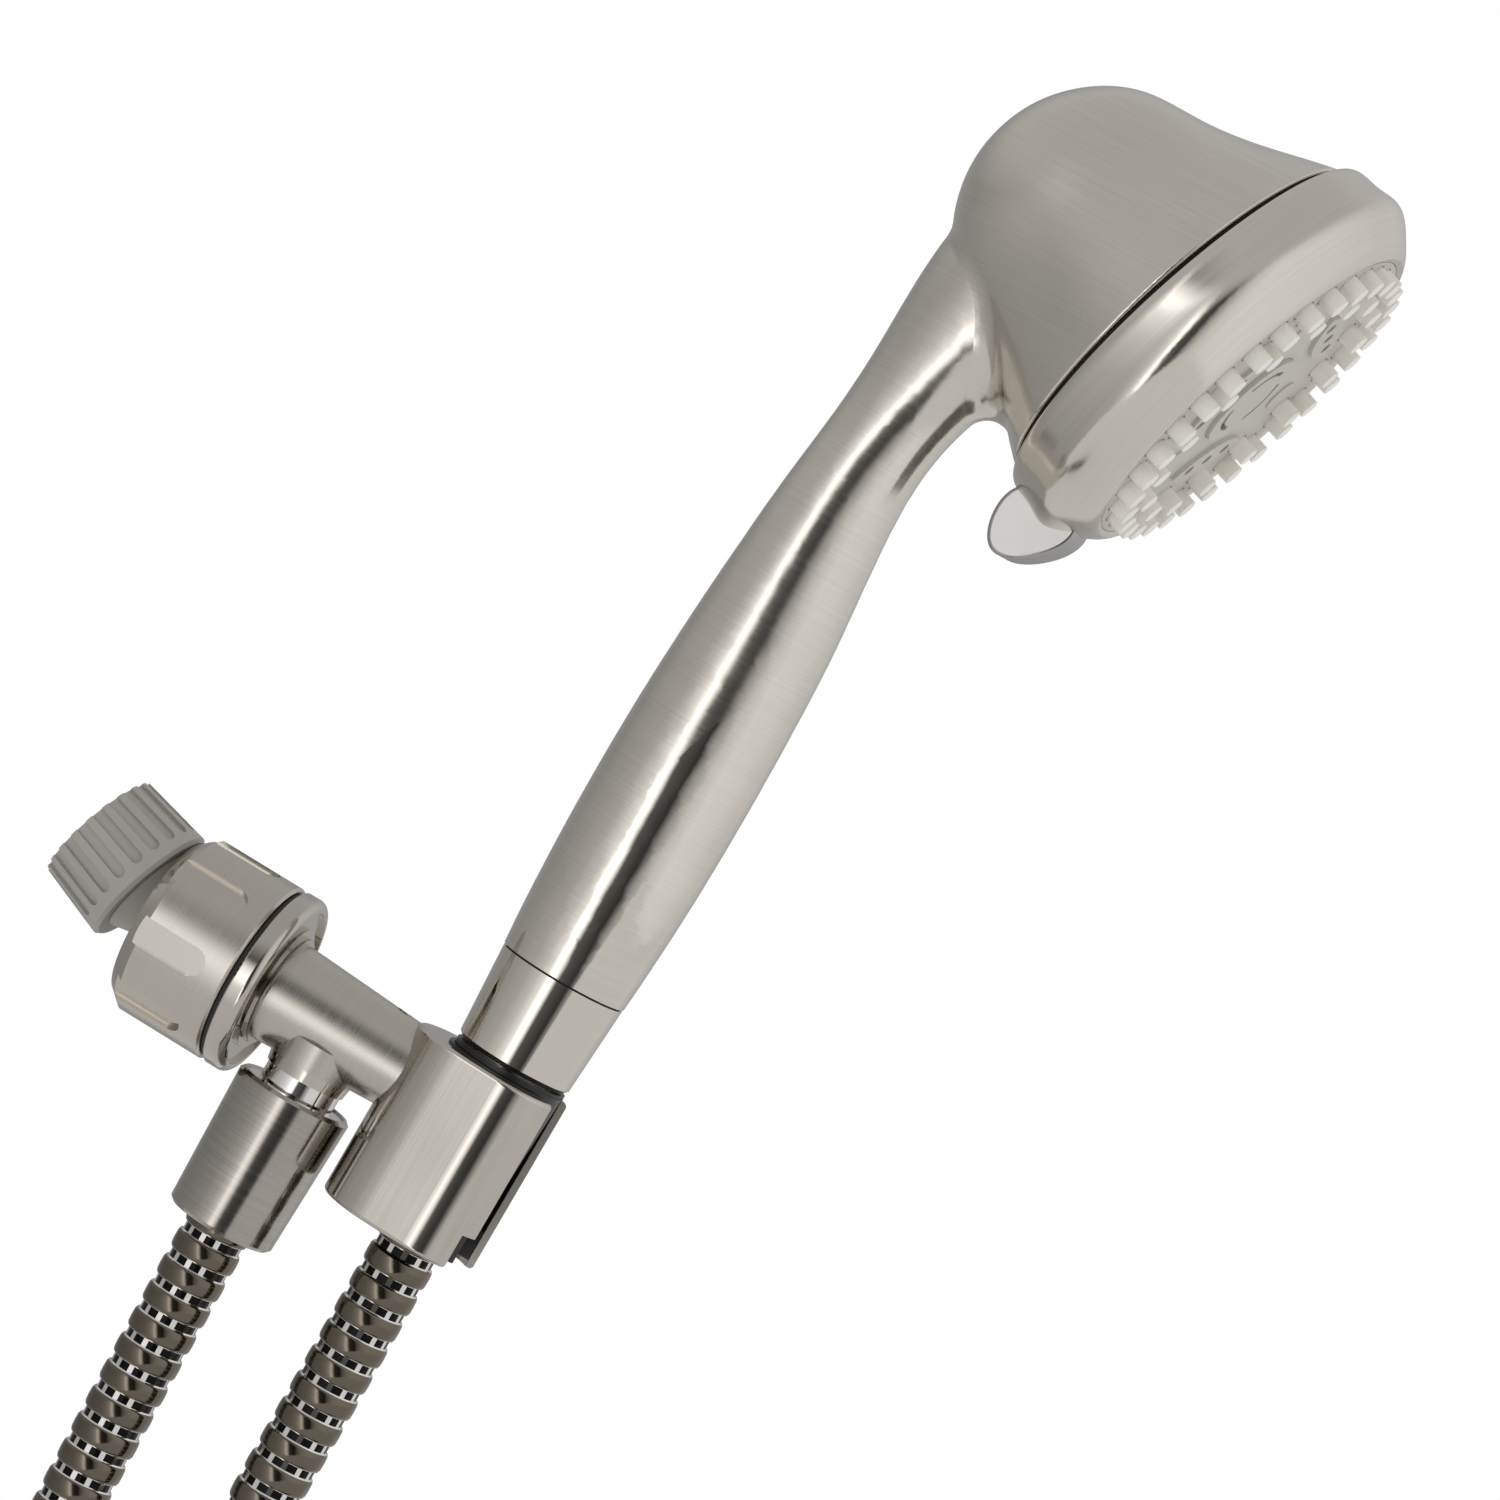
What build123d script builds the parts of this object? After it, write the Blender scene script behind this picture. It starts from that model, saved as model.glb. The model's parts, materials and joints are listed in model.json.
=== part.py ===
from build123d import *
import os
from math import atan, cos, degrees, hypot, radians, sin, sqrt, tan

# Hand shower set: a ball-jointed arm bracket with a cradle, a metal hose and a handset with a spray selector.
# Millimetres. The origin is the middle of the arm nut's mouth, X points away from the wall, Z up.

# Lie of the set in the XZ plane and the turn of the handset in its cradle, in degrees
ARM_SLOPE = 47.8
BRACKET_SLOPE = 30.0
HEAD_SLOPE = 47.5
HANDSET_TURN = -3.0

# Clearances
RUNNING_FIT = 0.05
BALL_FIT = 0.15
TURN_GAP = 0.3
SEAT_GAP = 0.1
CONE_GAP = 0.25

# Steps of halving that find a place on a curve
CURVE_HALVINGS = 30

# Arm nut, screwed on the shower arm, and the hollow ball that turns in it
ARM_BORE_D = 20.8
ARM_POCKET_STEP = 0.3
ARM_NUT_D = 26.3
ARM_NUT_MOUTH_D = 24.4
ARM_NUT_LENGTH = 15.0
ARM_NUT_WALL = 2.2
ARM_NUT_EDGE = 0.7
ARM_FLUTES = 20
ARM_FLUTE_WIDTH = 2.3
ARM_FLUTE_DEPTH = 0.7
ARM_FLUTE_STOP = 2.6
WASHER_THICKNESS = 2.0
WASHER_HOLE_D = 10.4
STEM_D = 12.6
STEM_FLANGE_THICKNESS = 1.8
NECK_D = 20.0
NECK_END_D = 15.4
BALL_D = 22.0
BALL_STANDOFF = 1.3
WATERWAY_D = 8.4

# Clamp nut, ball seat and the seal ring between ball and seat
SEAT_WALL = 2.1
SEAT_DEPTH = 12.8
SEAT_START = 0.8
SEAL_RING_D = 15.0
SEAL_WIRE_D = 2.2
SCREW_COLLAR_WALL = 2.3
SCREW_COLLAR_START = 1.0
CLAMP_NUT_WALL = 2.5
CLAMP_NUT_FRONT = 7.6
CLAMP_NUT_LIP = 3.3
CLAMP_NUT_LENGTH = 20.5
CLAMP_NUT_MOUTH_D = 26.2
CLAMP_NUT_BEVEL = 2.9
CLAMP_NUT_BEVEL_RISE = 2.4
CLAMP_NUT_EDGE = 0.5
GRIP_RECESSES = 8
GRIP_RECESS_WIDTH = 5.6
GRIP_RECESS_DEPTH = 1.1
GRIP_RECESS_STOP = 4.4
GRIP_RECESS_ANGLE = 95.0
CLAMP_WASHER_THICKNESS = 0.9
CLAMP_WASHER_INSET = 1.0

# Bracket body: flange, tapered tube and the cradle's plug socket
FLANGE_THICKNESS = 4.2
FLANGE_LIP = 0.4
FLANGE_ROUND = 1.6
FLANGE_GROOVE_INNER_D = 25.0
FLANGE_GROOVE_OUTER_D = 32.0
FLANGE_GROOVE_DEPTH = 0.8
TUBE_START_D = 20.0
TUBE_END_D = 15.0
TUBE_BEAD_D = 22.0
TUBE_BEAD = 1.0
FLANGE_TO_HOSE_NUT = 1.6
HOSE_NUT_TO_CRADLE = 2.1
PLUG_D = 10.0
PLUG_LENGTH = 6.0
PLUG_WEB = 2.6
SET_SCREW_D = 3.0
SET_SCREW_LENGTH = 3.6
SET_SCREW_INSET = 0.25
SET_SCREW_FROM_PLUG_END = 2.6
SET_SCREW_KEY = 1.5

# Hose outlet under the bracket
SPIGOT_D = 14.8
SPIGOT_LENGTH = 14.7
SADDLE_D = 18.2
SADDLE_FROM = 4.0
SADDLE_TO = 11.2
SADDLE_LIP = 0.4
HOSE_THREAD_D = 19.8
HOSE_THREAD_LENGTH = 10.0
HOSE_NUT_TOP = 14.4
HOSE_NUT_LENGTH = 28.0
HOSE_NUT_WALL = 1.35
HOSE_NUT_END_D = 21.0
HOSE_NUT_EDGE = 0.7
INSERT_FLANGE_THICKNESS = 1.9
INSERT_FLANGE_PLAY = 0.3
INSERT_BORE_D = 7.2
HOSE_D = 12.7
HOSE_PLAY = 0.4
FERRULE_D = 12.5
FERRULE_LENGTH = 11.0

# Cradle and its plastic liner
CRADLE_BACK_D = 25.2
CRADLE_BACK_AT = 5.9
CRADLE_CORNER_D = 18.6
CRADLE_CORNER_AT = 2.5
CRADLE_CORNERS = 8.4
CRADLE_TOP = 8.9
CRADLE_LENGTH = 35.0
CRADLE_EDGE = 0.8
CRADLE_SLOT = 13.4
CRADLE_NOTCH_REACH = 10.1
CRADLE_NOTCH_HEIGHT = 7.0
LINER_D = 24.2
LINER_RISE = 0.4
LINER_SET_BACK = 1.6
LINER_FOOT = 1.2

# Cone nut at the handset's end of the hose, with its plastic sleeve
CONE_TOP = 29.1
CONE_TOP_D = 24.7
CONE_LOW = 10.8
CONE_LOW_D = 22.7
CONE_EDGE = 0.9
CONE_FOOT = -13.0
SLEEVE_TOP_D = 22.0
SLEEVE_FOOT_D = 19.9
SLEEVE_GAP = 0.3
SLEEVE_BORE_D = 17.9
SLEEVE_RIDGE = 0.3
SLEEVE_RIDGES = 2
HANDSET_FERRULE_LENGTH = 24.0

# Handle, neck and bell of the handset
HANDLE_FOOT = 29.5
HANDLE_FOOT_D = 25.0
HANDLE_GRIP_LOW = 52.0
HANDLE_GRIP_HIGH = 84.0
HANDLE_GRIP_D = 27.4
HANDLE_TAPER_AT = 109.0
HANDLE_TAPER_D = 24.8
HANDLE_SECTIONS = 14
NECK_AT = 131.0
NECK_WAIST_D = 21.0
NECK_ARCH_AT = 147.0
NECK_ARCH_FRONT = 11.8
NECK_ARCH_BACK = 8.8
NECK_FLARE_AT = 160.0
NECK_FLARE_FRONT = 16.5
NECK_FLARE_BACK = 8.3
NECK_ROOT_AT = 173.0
NECK_ROOT_FRONT = 22.4
NECK_ROOT_BACK = 8.0
NECK_BELOW_HEAD = 1.0
NECK_TOP_FRONT = 27.0
NECK_TOP_BACK = 6.0
NECK_FILLET = 5.0
HANDLE_BORE_D = 14.0
HANDLE_BORE_TOP = 176.0
HEAD_CROSSWAY_D = 9.0
HEAD_FORWARD = 37.3
HEAD_ALONG_HANDLE = 187.0
BELL_RIM_D = 78.4
BELL_RIM_ROUND = 0.6
BELL_SKIRT_D = 64.2
BELL_SKIRT_AT = 12.9
BELL_WAIST_D = 53.8
BELL_WAIST_AT = 24.7
BELL_CROWN_D = 45.6
BELL_CROWN_AT = 35.6
BELL_DOME_D = 19.4
BELL_DOME_AT = 46.4
BELL_DEPTH = 48.0
BELL_WALL = 3.2
BELL_CAVITY_DEPTH = 28.0
BELL_LEDGE_DEPTH = 4.0
BELL_LEDGE_WALL = 4.7

# Water path inside the handle
SEAM_RING_THICKNESS = 0.35
SEAM_RING_INSET = 0.5
INLET_BARREL_LENGTH = 11.0
INLET_BORE_D = 10.0
WATER_TUBE_WALL = 1.6
WATER_TUBE_LENGTH = 118.0
SCREEN_THICKNESS = 1.0
SCREEN_HOLE_D = 1.6
SCREEN_HOLES = 6
REGULATOR_THICKNESS = 3.0
REGULATOR_HOLE_D = 3.0

# Spray head: chassis, selector ring, lever and face
GASKET_THICKNESS = 0.7
GASKET_INSET = 1.9
GASKET_LEDGE = 0.6
BEZEL_BACK_D = 80.6
BEZEL_BACK_ROUND = 0.6
BEZEL_SHOULDER_D = 83.6
BEZEL_SHOULDER_AT = 6.2
BEZEL_BELLY_D = 85.0
BEZEL_BELLY_AT = 10.7
BEZEL_BROW_D = 78.4
BEZEL_BROW_AT = 16.0
BEZEL_LIP_D = 71.8
BEZEL_LIP_AT = 18.8
BEZEL_MOUTH_D = 69.6
BEZEL_BORE_D = 76.0
FACE_AT = 18.4
FACE_STEP = 16.4
FACE_BACK = 14.6
CHASSIS_THICKNESS = 3.5
CHASSIS_BOSS_D = 26.0
CHASSIS_BOSS_TOP = 4.0
HUB_D = 10.0
SPREADER_BACK = 4.5
SPREADER_FRONT = 12.2
SPREADER_CHANNEL_DEPTH = 4.5
SPREADER_CHANNEL_INNER_D = 44.0
SPREADER_CHANNEL_OUTER_D = 70.0
SPREADER_PORT_D = 6.0
MAT_THICKNESS = 2.2
MAT_HOLE_D = 22.0
PORT_AT = 20.0
PORT_D = 8.4
PORT_SEAL_HOLE_D = 4.6
PORT_SEAL_LENGTH = 4.0
SPRING_WIRE_D = 0.7
SPRING_TURNS = 3
DETENT_AT = 27.5
DETENT_D = 3.0
DETENT_LENGTH = 4.6
DETENT_NOTCHES = 5
DETENT_NOTCH_D = 2.6
DETENT_NOTCH_DEPTH = 0.8
SELECTOR_STEP_ANGLE = 30.0

# Nozzles, jets and the middle of the face
NOZZLE_D = 4.2
NOZZLE_TIP_D = 3.9
NOZZLE_REACH = 21.8
OUTER_NOZZLES = 32
OUTER_NOZZLE_RING_D = 63.0
INNER_NOZZLES = 16
INNER_NOZZLE_RING_D = 53.2
ISLANDS = 3
ISLAND_TURN = -17.0
ISLAND_AT = 18.2
ISLAND_LENGTH = 20.0
ISLAND_WIDTH = 8.0
ISLAND_HEIGHT = 0.8
ISLAND_JETS = 3
ISLAND_JET_D = 2.4
ISLAND_JET_SPACING = 5.2
PAD_D = 6.6
MIDDLE_D = 20.4
MIDDLE_SLOT_RING_D = 14.0
MIDDLE_SLOT_WIDTH = 1.1
MIDDLE_SLOT_ARC = 80.0
AXLE_D = 2.4
TURBINE_D = 18.0
TURBINE_THICKNESS = 1.5
TURBINE_BLADES = 6
TURBINE_CUT = 1.6
TURBINE_BLADE_ANGLE = 30.0
HUB_SCREW_D = 3.4
HUB_SCREW_LENGTH = 7.0
HUB_SCREW_HEAD_D = 14.0
HUB_SCREW_HEAD_THICKNESS = 1.8
HUB_SCREW_SLOT = 1.0

# Thumb lever on the selector ring
LEVER_ROOT = 38.4
LEVER_ROOT_BACK = 4.9
LEVER_BACK = 2.6
LEVER_BACK_AT = 45.0
LEVER_REACH = 51.9
LEVER_TIP = 7.9
LEVER_SHOULDER = 14.8
LEVER_SHOULDER_AT = 46.5
LEVER_FRONT = 16.3
LEVER_WIDTH = 12.0
LEVER_ROUND = 0.8
LEVER_RIM = 1.5
LEVER_DISH_R = 18.0
LEVER_DISH_DEPTH = 2.4
LEVER_SCREW_D = 2.6
LEVER_SCREW_LENGTH = 7.0
LEVER_SCREW_HEAD_D = 4.4
LEVER_SCREW_HEAD = 1.4

# Hose route below the set: the stretch under the bracket, a tied coil and the stretch up to the cradle
COIL_R = 66.0
COIL_MIDDLE = (18.1, 0.0, -288.2)
COIL_START = 174.0
COIL_END = 1128.0
COIL_PITCH = 13.0
OUTLET_STRAIGHT = 78.0
OUTLET_ROUTE = [(-31.9, -7.0, -187.7), (-44.5, -16.6, -242.3)]
HANDSET_ROUTE = [(40.0, 17.0, -219.1), (20.3, 8.0, -182.0)]
HANDSET_STRAIGHT = 90.0
ARC_SHARE = 0.45
TIE_WIDTH = 12.0
TIE_THICKNESS = 1.4
TIE_ANGLE = 270.0

# Sizes that follow from those above
ARM_POCKET_D = ARM_BORE_D - 2 * ARM_POCKET_STEP
STEM_FLANGE_D = ARM_POCKET_D - 2 * SEAT_GAP
STEM_FLANGE_TOP = ARM_NUT_LENGTH - ARM_NUT_WALL - SEAT_GAP
STEM_FLANGE_FOOT = STEM_FLANGE_TOP - STEM_FLANGE_THICKNESS
ARM_WASHER_FOOT = STEM_FLANGE_FOOT - WASHER_THICKNESS
BALL_R = BALL_D / 2
BALL_AT = ARM_NUT_LENGTH + BALL_STANDOFF + BALL_R
SOCKET_R = BALL_R + BALL_FIT
SEAT_D = BALL_D + 2 * SEAT_WALL
SCREW_COLLAR_BORE_D = SEAT_D + 2 * SEAT_GAP
SCREW_COLLAR_D = SCREW_COLLAR_BORE_D + 2 * SCREW_COLLAR_WALL
CLAMP_NUT_BORE_D = SCREW_COLLAR_D + 2 * RUNNING_FIT
CLAMP_NUT_D = CLAMP_NUT_BORE_D + 2 * CLAMP_NUT_WALL
CLAMP_NUT_END = CLAMP_NUT_LENGTH - CLAMP_NUT_FRONT
FLANGE_BACK = CLAMP_NUT_END + SEAT_GAP + CLAMP_WASHER_THICKNESS
FLANGE_FACE = FLANGE_BACK + FLANGE_THICKNESS
CRADLE_FOOT = CRADLE_TOP - CRADLE_LENGTH
CRADLE_NOTCH_TOP = CRADLE_FOOT + CRADLE_NOTCH_HEIGHT
HOSE_NUT_BORE_D = HOSE_THREAD_D + 2 * RUNNING_FIT
HOSE_NUT_D = HOSE_NUT_BORE_D + 2 * HOSE_NUT_WALL
SPIGOT_REACH = FLANGE_FACE + FLANGE_TO_HOSE_NUT + HOSE_NUT_D / 2
CRADLE_REACH = SPIGOT_REACH + HOSE_NUT_D / 2 + HOSE_NUT_TO_CRADLE
HANDSET_REACH = CRADLE_REACH + CRADLE_BACK_D / 2 + CRADLE_BACK_AT
PLUG_START = CRADLE_REACH - PLUG_LENGTH
WATERWAY_END = PLUG_START - PLUG_WEB
HOSE_HOLE_D = HOSE_D + 2 * HOSE_PLAY
INSERT_FLANGE_D = HOSE_THREAD_D - 2 * INSERT_FLANGE_PLAY
OUTLET_WASHER_FROM = SPIGOT_LENGTH + HOSE_THREAD_LENGTH
OUTLET_FLANGE_FROM = OUTLET_WASHER_FROM + WASHER_THICKNESS
OUTLET_FLANGE_TO = OUTLET_FLANGE_FROM + INSERT_FLANGE_THICKNESS
OUTLET_SHOULDER = OUTLET_FLANGE_TO + SEAT_GAP
OUTLET_HOSE_FROM = OUTLET_FLANGE_TO + FERRULE_LENGTH
NECK_TOP = HEAD_ALONG_HANDLE - NECK_BELOW_HEAD
INLET_THREAD_FOOT = HANDLE_FOOT - HOSE_THREAD_LENGTH
INLET_WASHER_FOOT = INLET_THREAD_FOOT - WASHER_THICKNESS
INLET_FLANGE_FOOT = INLET_WASHER_FOOT - SEAT_GAP - INSERT_FLANGE_THICKNESS
CONE_SHOULDER = INLET_FLANGE_FOOT - SEAT_GAP
INLET_HOSE_FROM = INLET_FLANGE_FOOT - HANDSET_FERRULE_LENGTH
SLEEVE_TOP = CONE_LOW - SLEEVE_GAP
SLEEVE_TAPER = (SLEEVE_TOP_D - SLEEVE_FOOT_D) / 2 / (SLEEVE_TOP - CONE_FOOT)
BELL_LEDGE_D = BELL_RIM_D - 2 * BELL_LEDGE_WALL
BEZEL_BACK = GASKET_THICKNESS + TURN_GAP
CHASSIS_BACK = -BELL_LEDGE_DEPTH
CHASSIS_FRONT = CHASSIS_BACK + CHASSIS_THICKNESS
MAT_FRONT = FACE_BACK
MAT_BACK = MAT_FRONT - MAT_THICKNESS
SPREADER_D = BEZEL_BORE_D - 2 * SEAT_GAP
HUB_TOP = SPREADER_FRONT + TURN_GAP
HUB_SCREW_HEAD_TOP = HUB_TOP + HUB_SCREW_HEAD_THICKNESS
TURBINE_BACK = HUB_SCREW_HEAD_TOP + SEAT_GAP
MIDDLE_BACK = TURBINE_BACK + TURBINE_THICKNESS + SEAT_GAP
COIL_TURNS = (COIL_END - COIL_START) / 360
COIL_HALF_WIDTH = COIL_PITCH * COIL_TURNS / 2


def direction(angle):
    """Unit vector in the XZ plane, at an angle above X in degrees."""
    return Vector(cos(radians(angle)), 0, sin(radians(angle)))


def swung(vector):
    """The vector, turned with the handset about its handle."""
    return vector.rotate(Axis((0, 0, 0), ALONG_HANDLE), HANDSET_TURN)


# Frames: each has Z along the axis of the pieces that are turned about it
ALONG_BRACKET = direction(-BRACKET_SLOPE)
ALONG_HANDLE = direction(90 - BRACKET_SLOPE)
BALL_MIDDLE = direction(-ARM_SLOPE) * BALL_AT
HANDSET_MIDDLE = BALL_MIDDLE + ALONG_BRACKET * HANDSET_REACH
HEAD_MIDDLE = HANDSET_MIDDLE + swung(ALONG_BRACKET) * HEAD_FORWARD + ALONG_HANDLE * HEAD_ALONG_HANDLE
ARM = Plane(origin=(0, 0, 0), x_dir=direction(90 - ARM_SLOPE), z_dir=direction(-ARM_SLOPE))
BRACKET = Plane(origin=BALL_MIDDLE, x_dir=ALONG_HANDLE, z_dir=ALONG_BRACKET)
SPIGOT = Plane(
    origin=BALL_MIDDLE + ALONG_BRACKET * SPIGOT_REACH, x_dir=ALONG_BRACKET, z_dir=ALONG_HANDLE * -1
)
CRADLE = Plane(origin=HANDSET_MIDDLE, x_dir=ALONG_BRACKET, z_dir=ALONG_HANDLE)
HANDSET = Plane(origin=HANDSET_MIDDLE, x_dir=swung(ALONG_BRACKET), z_dir=ALONG_HANDLE)
HEAD = Plane(
    origin=HEAD_MIDDLE, x_dir=swung(direction(90 - HEAD_SLOPE)), z_dir=swung(direction(-HEAD_SLOPE))
)


def place(frame, shape):
    """The shape, moved from the world frame into the given frame."""
    return frame.location * shape


def turned(points):
    """Solid of revolution about Z with a closed outline of (radius, height) points."""
    return revolve(make_face(Polyline(*[(r, 0, z) for r, z in points], close=True)), Axis.Z)


def turned_curve(curve, corners):
    """Solid of revolution about Z, outlined by a curve and by the corners from its end back to its start."""
    points = [curve @ 1] + [Vector(r, 0, z) for r, z in corners] + [curve @ 0]
    return revolve(make_face([curve, Polyline(*points)]), Axis.Z)


def rod(diameter, low, high):
    """Cylinder on Z between two heights."""
    return Pos(0, 0, low) * Cylinder(diameter / 2, high - low, align=(Align.CENTER, Align.CENTER, Align.MIN))


def ring(outer_d, inner_d, low, high):
    """Flat ring on Z between two heights."""
    return rod(outer_d, low, high) - rod(inner_d, low, high)


def cone(low_d, low, high_d, high):
    """Solid cone frustum on Z."""
    return turned([(0, low), (low_d / 2, low), (high_d / 2, high), (0, high)])


def around(shape, count, first=0.0):
    """Copies of a shape, spread evenly about Z."""
    return [Rot(0, 0, first + i * 360 / count) * shape for i in range(count)]


def spring(diameter, wire_d, low, high, turns):
    """Helical spring on Z whose wire stays between two heights."""
    span = high - low - wire_d
    path = Helix(span / turns, span, (diameter - wire_d) / 2)
    wire = Plane(origin=path @ 0, z_dir=path % 0) * Circle(wire_d / 2)
    return Pos(0, 0, low + wire_d / 2) * sweep(wire, path=path)


# Arm connector
def make_arm_nut():
    """Ribbed nut with a bore for the arm's thread and an end wall that holds the ball's stem."""
    wall_at = ARM_NUT_LENGTH - ARM_NUT_WALL
    edge_at = ARM_NUT_LENGTH - ARM_NUT_EDGE
    hole_r = STEM_D / 2 + RUNNING_FIT
    body = turned(
        [
            (ARM_BORE_D / 2, 0),
            (ARM_NUT_MOUTH_D / 2, 0),
            (ARM_NUT_D / 2, edge_at),
            (ARM_NUT_D / 2 - ARM_NUT_EDGE, ARM_NUT_LENGTH),
            (hole_r, ARM_NUT_LENGTH),
            (hole_r, wall_at),
            (ARM_POCKET_D / 2, wall_at),
            (ARM_POCKET_D / 2, ARM_WASHER_FOOT),
            (ARM_BORE_D / 2, ARM_WASHER_FOOT),
        ]
    )
    rise = (ARM_NUT_D - ARM_NUT_MOUTH_D) / 2 / edge_at
    lean = atan(rise)
    stop = ARM_NUT_LENGTH - ARM_FLUTE_STOP
    floor = Plane(
        origin=(ARM_NUT_MOUTH_D / 2 + rise * stop - ARM_FLUTE_DEPTH, 0, stop),
        x_dir=(sin(lean), 0, cos(lean)),
        z_dir=(cos(lean), 0, -sin(lean)),
    )
    slot = SlotOverall(2 * ARM_NUT_LENGTH, ARM_FLUTE_WIDTH, align=(Align.MAX, Align.CENTER))
    return body - around(extrude(floor * slot, amount=3 * ARM_FLUTE_DEPTH), ARM_FLUTES)


def make_swivel_ball():
    """Hollow ball with a tapered neck and a stem whose flange sits behind the arm nut's end wall."""
    neck_foot = ARM_NUT_LENGTH + SEAT_GAP
    neck_end = BALL_AT - sqrt(BALL_R**2 - (NECK_END_D / 2) ** 2)
    body = Pos(0, 0, BALL_AT) * Sphere(BALL_R)
    body += cone(NECK_D, neck_foot, NECK_END_D, neck_end)
    body += rod(STEM_D, STEM_FLANGE_FOOT, BALL_AT)
    body += rod(STEM_FLANGE_D, STEM_FLANGE_FOOT, STEM_FLANGE_TOP)
    return body - rod(WATERWAY_D, 0, BALL_AT + BALL_D)


# Ball clamp
SEAL_AT = sqrt((BALL_R + SEAL_WIRE_D / 2 + RUNNING_FIT) ** 2 - (SEAL_RING_D / 2) ** 2)


def make_ball_seat():
    """Ring with a spherical seat, a groove for the seal and a bore for the water."""
    body = rod(SEAT_D, SEAT_START, SEAT_DEPTH) - Sphere(SOCKET_R)
    body -= rod(WATERWAY_D, 0, SEAT_DEPTH)
    return body - Pos(0, 0, SEAL_AT) * Torus(SEAL_RING_D / 2, SEAL_WIRE_D / 2 + RUNNING_FIT)


def make_clamp_nut():
    """Grip nut with long rounded recesses and a lip that holds the ball against its seat."""
    outer_r = CLAMP_NUT_D / 2
    front = -CLAMP_NUT_FRONT
    lip_r = sqrt(SOCKET_R**2 - CLAMP_NUT_LIP**2)
    body = turned(
        [
            (0, front),
            (outer_r - CLAMP_NUT_BEVEL_RISE, front),
            (outer_r, front + CLAMP_NUT_BEVEL),
            (outer_r, CLAMP_NUT_END - CLAMP_NUT_EDGE),
            (outer_r - CLAMP_NUT_EDGE, CLAMP_NUT_END),
            (0, CLAMP_NUT_END),
        ]
    )
    body -= rod(CLAMP_NUT_BORE_D, -SEAT_GAP, CLAMP_NUT_END)
    body -= Sphere(SOCKET_R)
    body -= cone(CLAMP_NUT_MOUTH_D, front, 2 * lip_r, -CLAMP_NUT_LIP)
    stop = CLAMP_NUT_END - GRIP_RECESS_STOP
    floor = Plane(origin=(outer_r - GRIP_RECESS_DEPTH, 0, stop), x_dir=(0, 0, 1), z_dir=(1, 0, 0))
    slot = SlotOverall(2 * CLAMP_NUT_LENGTH, GRIP_RECESS_WIDTH, align=(Align.MAX, Align.CENTER))
    recess = extrude(floor * slot, amount=3 * GRIP_RECESS_DEPTH)
    return body - around(recess, GRIP_RECESSES, GRIP_RECESS_ANGLE)


# Bracket
def set_screw_place():
    """Frame of the set screw: on top of the tube, over the cradle's plug, with Z towards the plug."""
    along = PLUG_START + SET_SCREW_FROM_PLUG_END
    share = (along - FLANGE_FACE) / (HANDSET_REACH - FLANGE_FACE)
    surface = (TUBE_START_D + (TUBE_END_D - TUBE_START_D) * share) / 2
    origin = BALL_MIDDLE + ALONG_BRACKET * along + ALONG_HANDLE * (surface - SET_SCREW_INSET)
    return Plane(origin=origin, x_dir=ALONG_BRACKET, z_dir=ALONG_HANDLE * -1)


def make_bracket_body():
    """Screwed collar, flange and tapered tube in one piece, with the water bore and its side outlet."""
    body = rod(SCREW_COLLAR_D, SCREW_COLLAR_START, FLANGE_BACK + FLANGE_ROUND)
    body -= rod(SCREW_COLLAR_BORE_D, 0, SEAT_DEPTH + SEAT_GAP)
    flange = rod(CLAMP_NUT_D, FLANGE_BACK, FLANGE_FACE)
    flange = fillet(flange.edges().group_by(Axis.Z)[-1], FLANGE_ROUND)
    flange = fillet(flange.edges().group_by(Axis.Z)[0], FLANGE_LIP)
    flange -= ring(
        FLANGE_GROOVE_OUTER_D, FLANGE_GROOVE_INNER_D, FLANGE_FACE - FLANGE_GROOVE_DEPTH, FLANGE_FACE
    )
    body += flange
    body += cone(TUBE_START_D, FLANGE_FACE - FLANGE_ROUND, TUBE_END_D, HANDSET_REACH)
    body += rod(TUBE_BEAD_D, FLANGE_FACE, FLANGE_FACE + TUBE_BEAD)
    saddle = cone(SADDLE_D, SADDLE_FROM, SPIGOT_D + 2 * SADDLE_LIP, SADDLE_TO)
    body = place(BRACKET, body) + place(SPIGOT, saddle)
    body -= place(BRACKET, rod(WATERWAY_D, 0, WATERWAY_END))
    body -= place(BRACKET, rod(PLUG_D + 2 * RUNNING_FIT, PLUG_START - SEAT_GAP, HANDSET_REACH))
    body -= place(SPIGOT, rod(SPIGOT_D + 2 * RUNNING_FIT, 0, SPIGOT_LENGTH))
    body -= place(set_screw_place(), rod(SET_SCREW_D + 2 * RUNNING_FIT, -SPIGOT_LENGTH, SET_SCREW_LENGTH))
    return body - place(CRADLE, cradle_block(-CRADLE_LENGTH, CRADLE_LENGTH))


def make_hose_spigot():
    """Outlet pipe under the bracket with the hose thread at its foot."""
    thread_end = SPIGOT_LENGTH + HOSE_THREAD_LENGTH
    top = WATERWAY_D / 2
    chamfer_size = HOSE_NUT_WALL / 2
    outline = [
        (0, top),
        (SPIGOT_D / 2, top),
        (SPIGOT_D / 2, SPIGOT_LENGTH),
        (HOSE_THREAD_D / 2, SPIGOT_LENGTH),
        (HOSE_THREAD_D / 2, thread_end - chamfer_size),
        (HOSE_THREAD_D / 2 - chamfer_size, thread_end),
        (0, thread_end),
    ]
    return turned(outline) - rod(WATERWAY_D, 0, thread_end)


def make_set_screw():
    """Small headless screw with a hexagon key hole."""
    body = rod(SET_SCREW_D, 0, SET_SCREW_LENGTH)
    return body - extrude(RegularPolygon(SET_SCREW_KEY / 2, 6), amount=SET_SCREW_LENGTH / 2)


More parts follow.
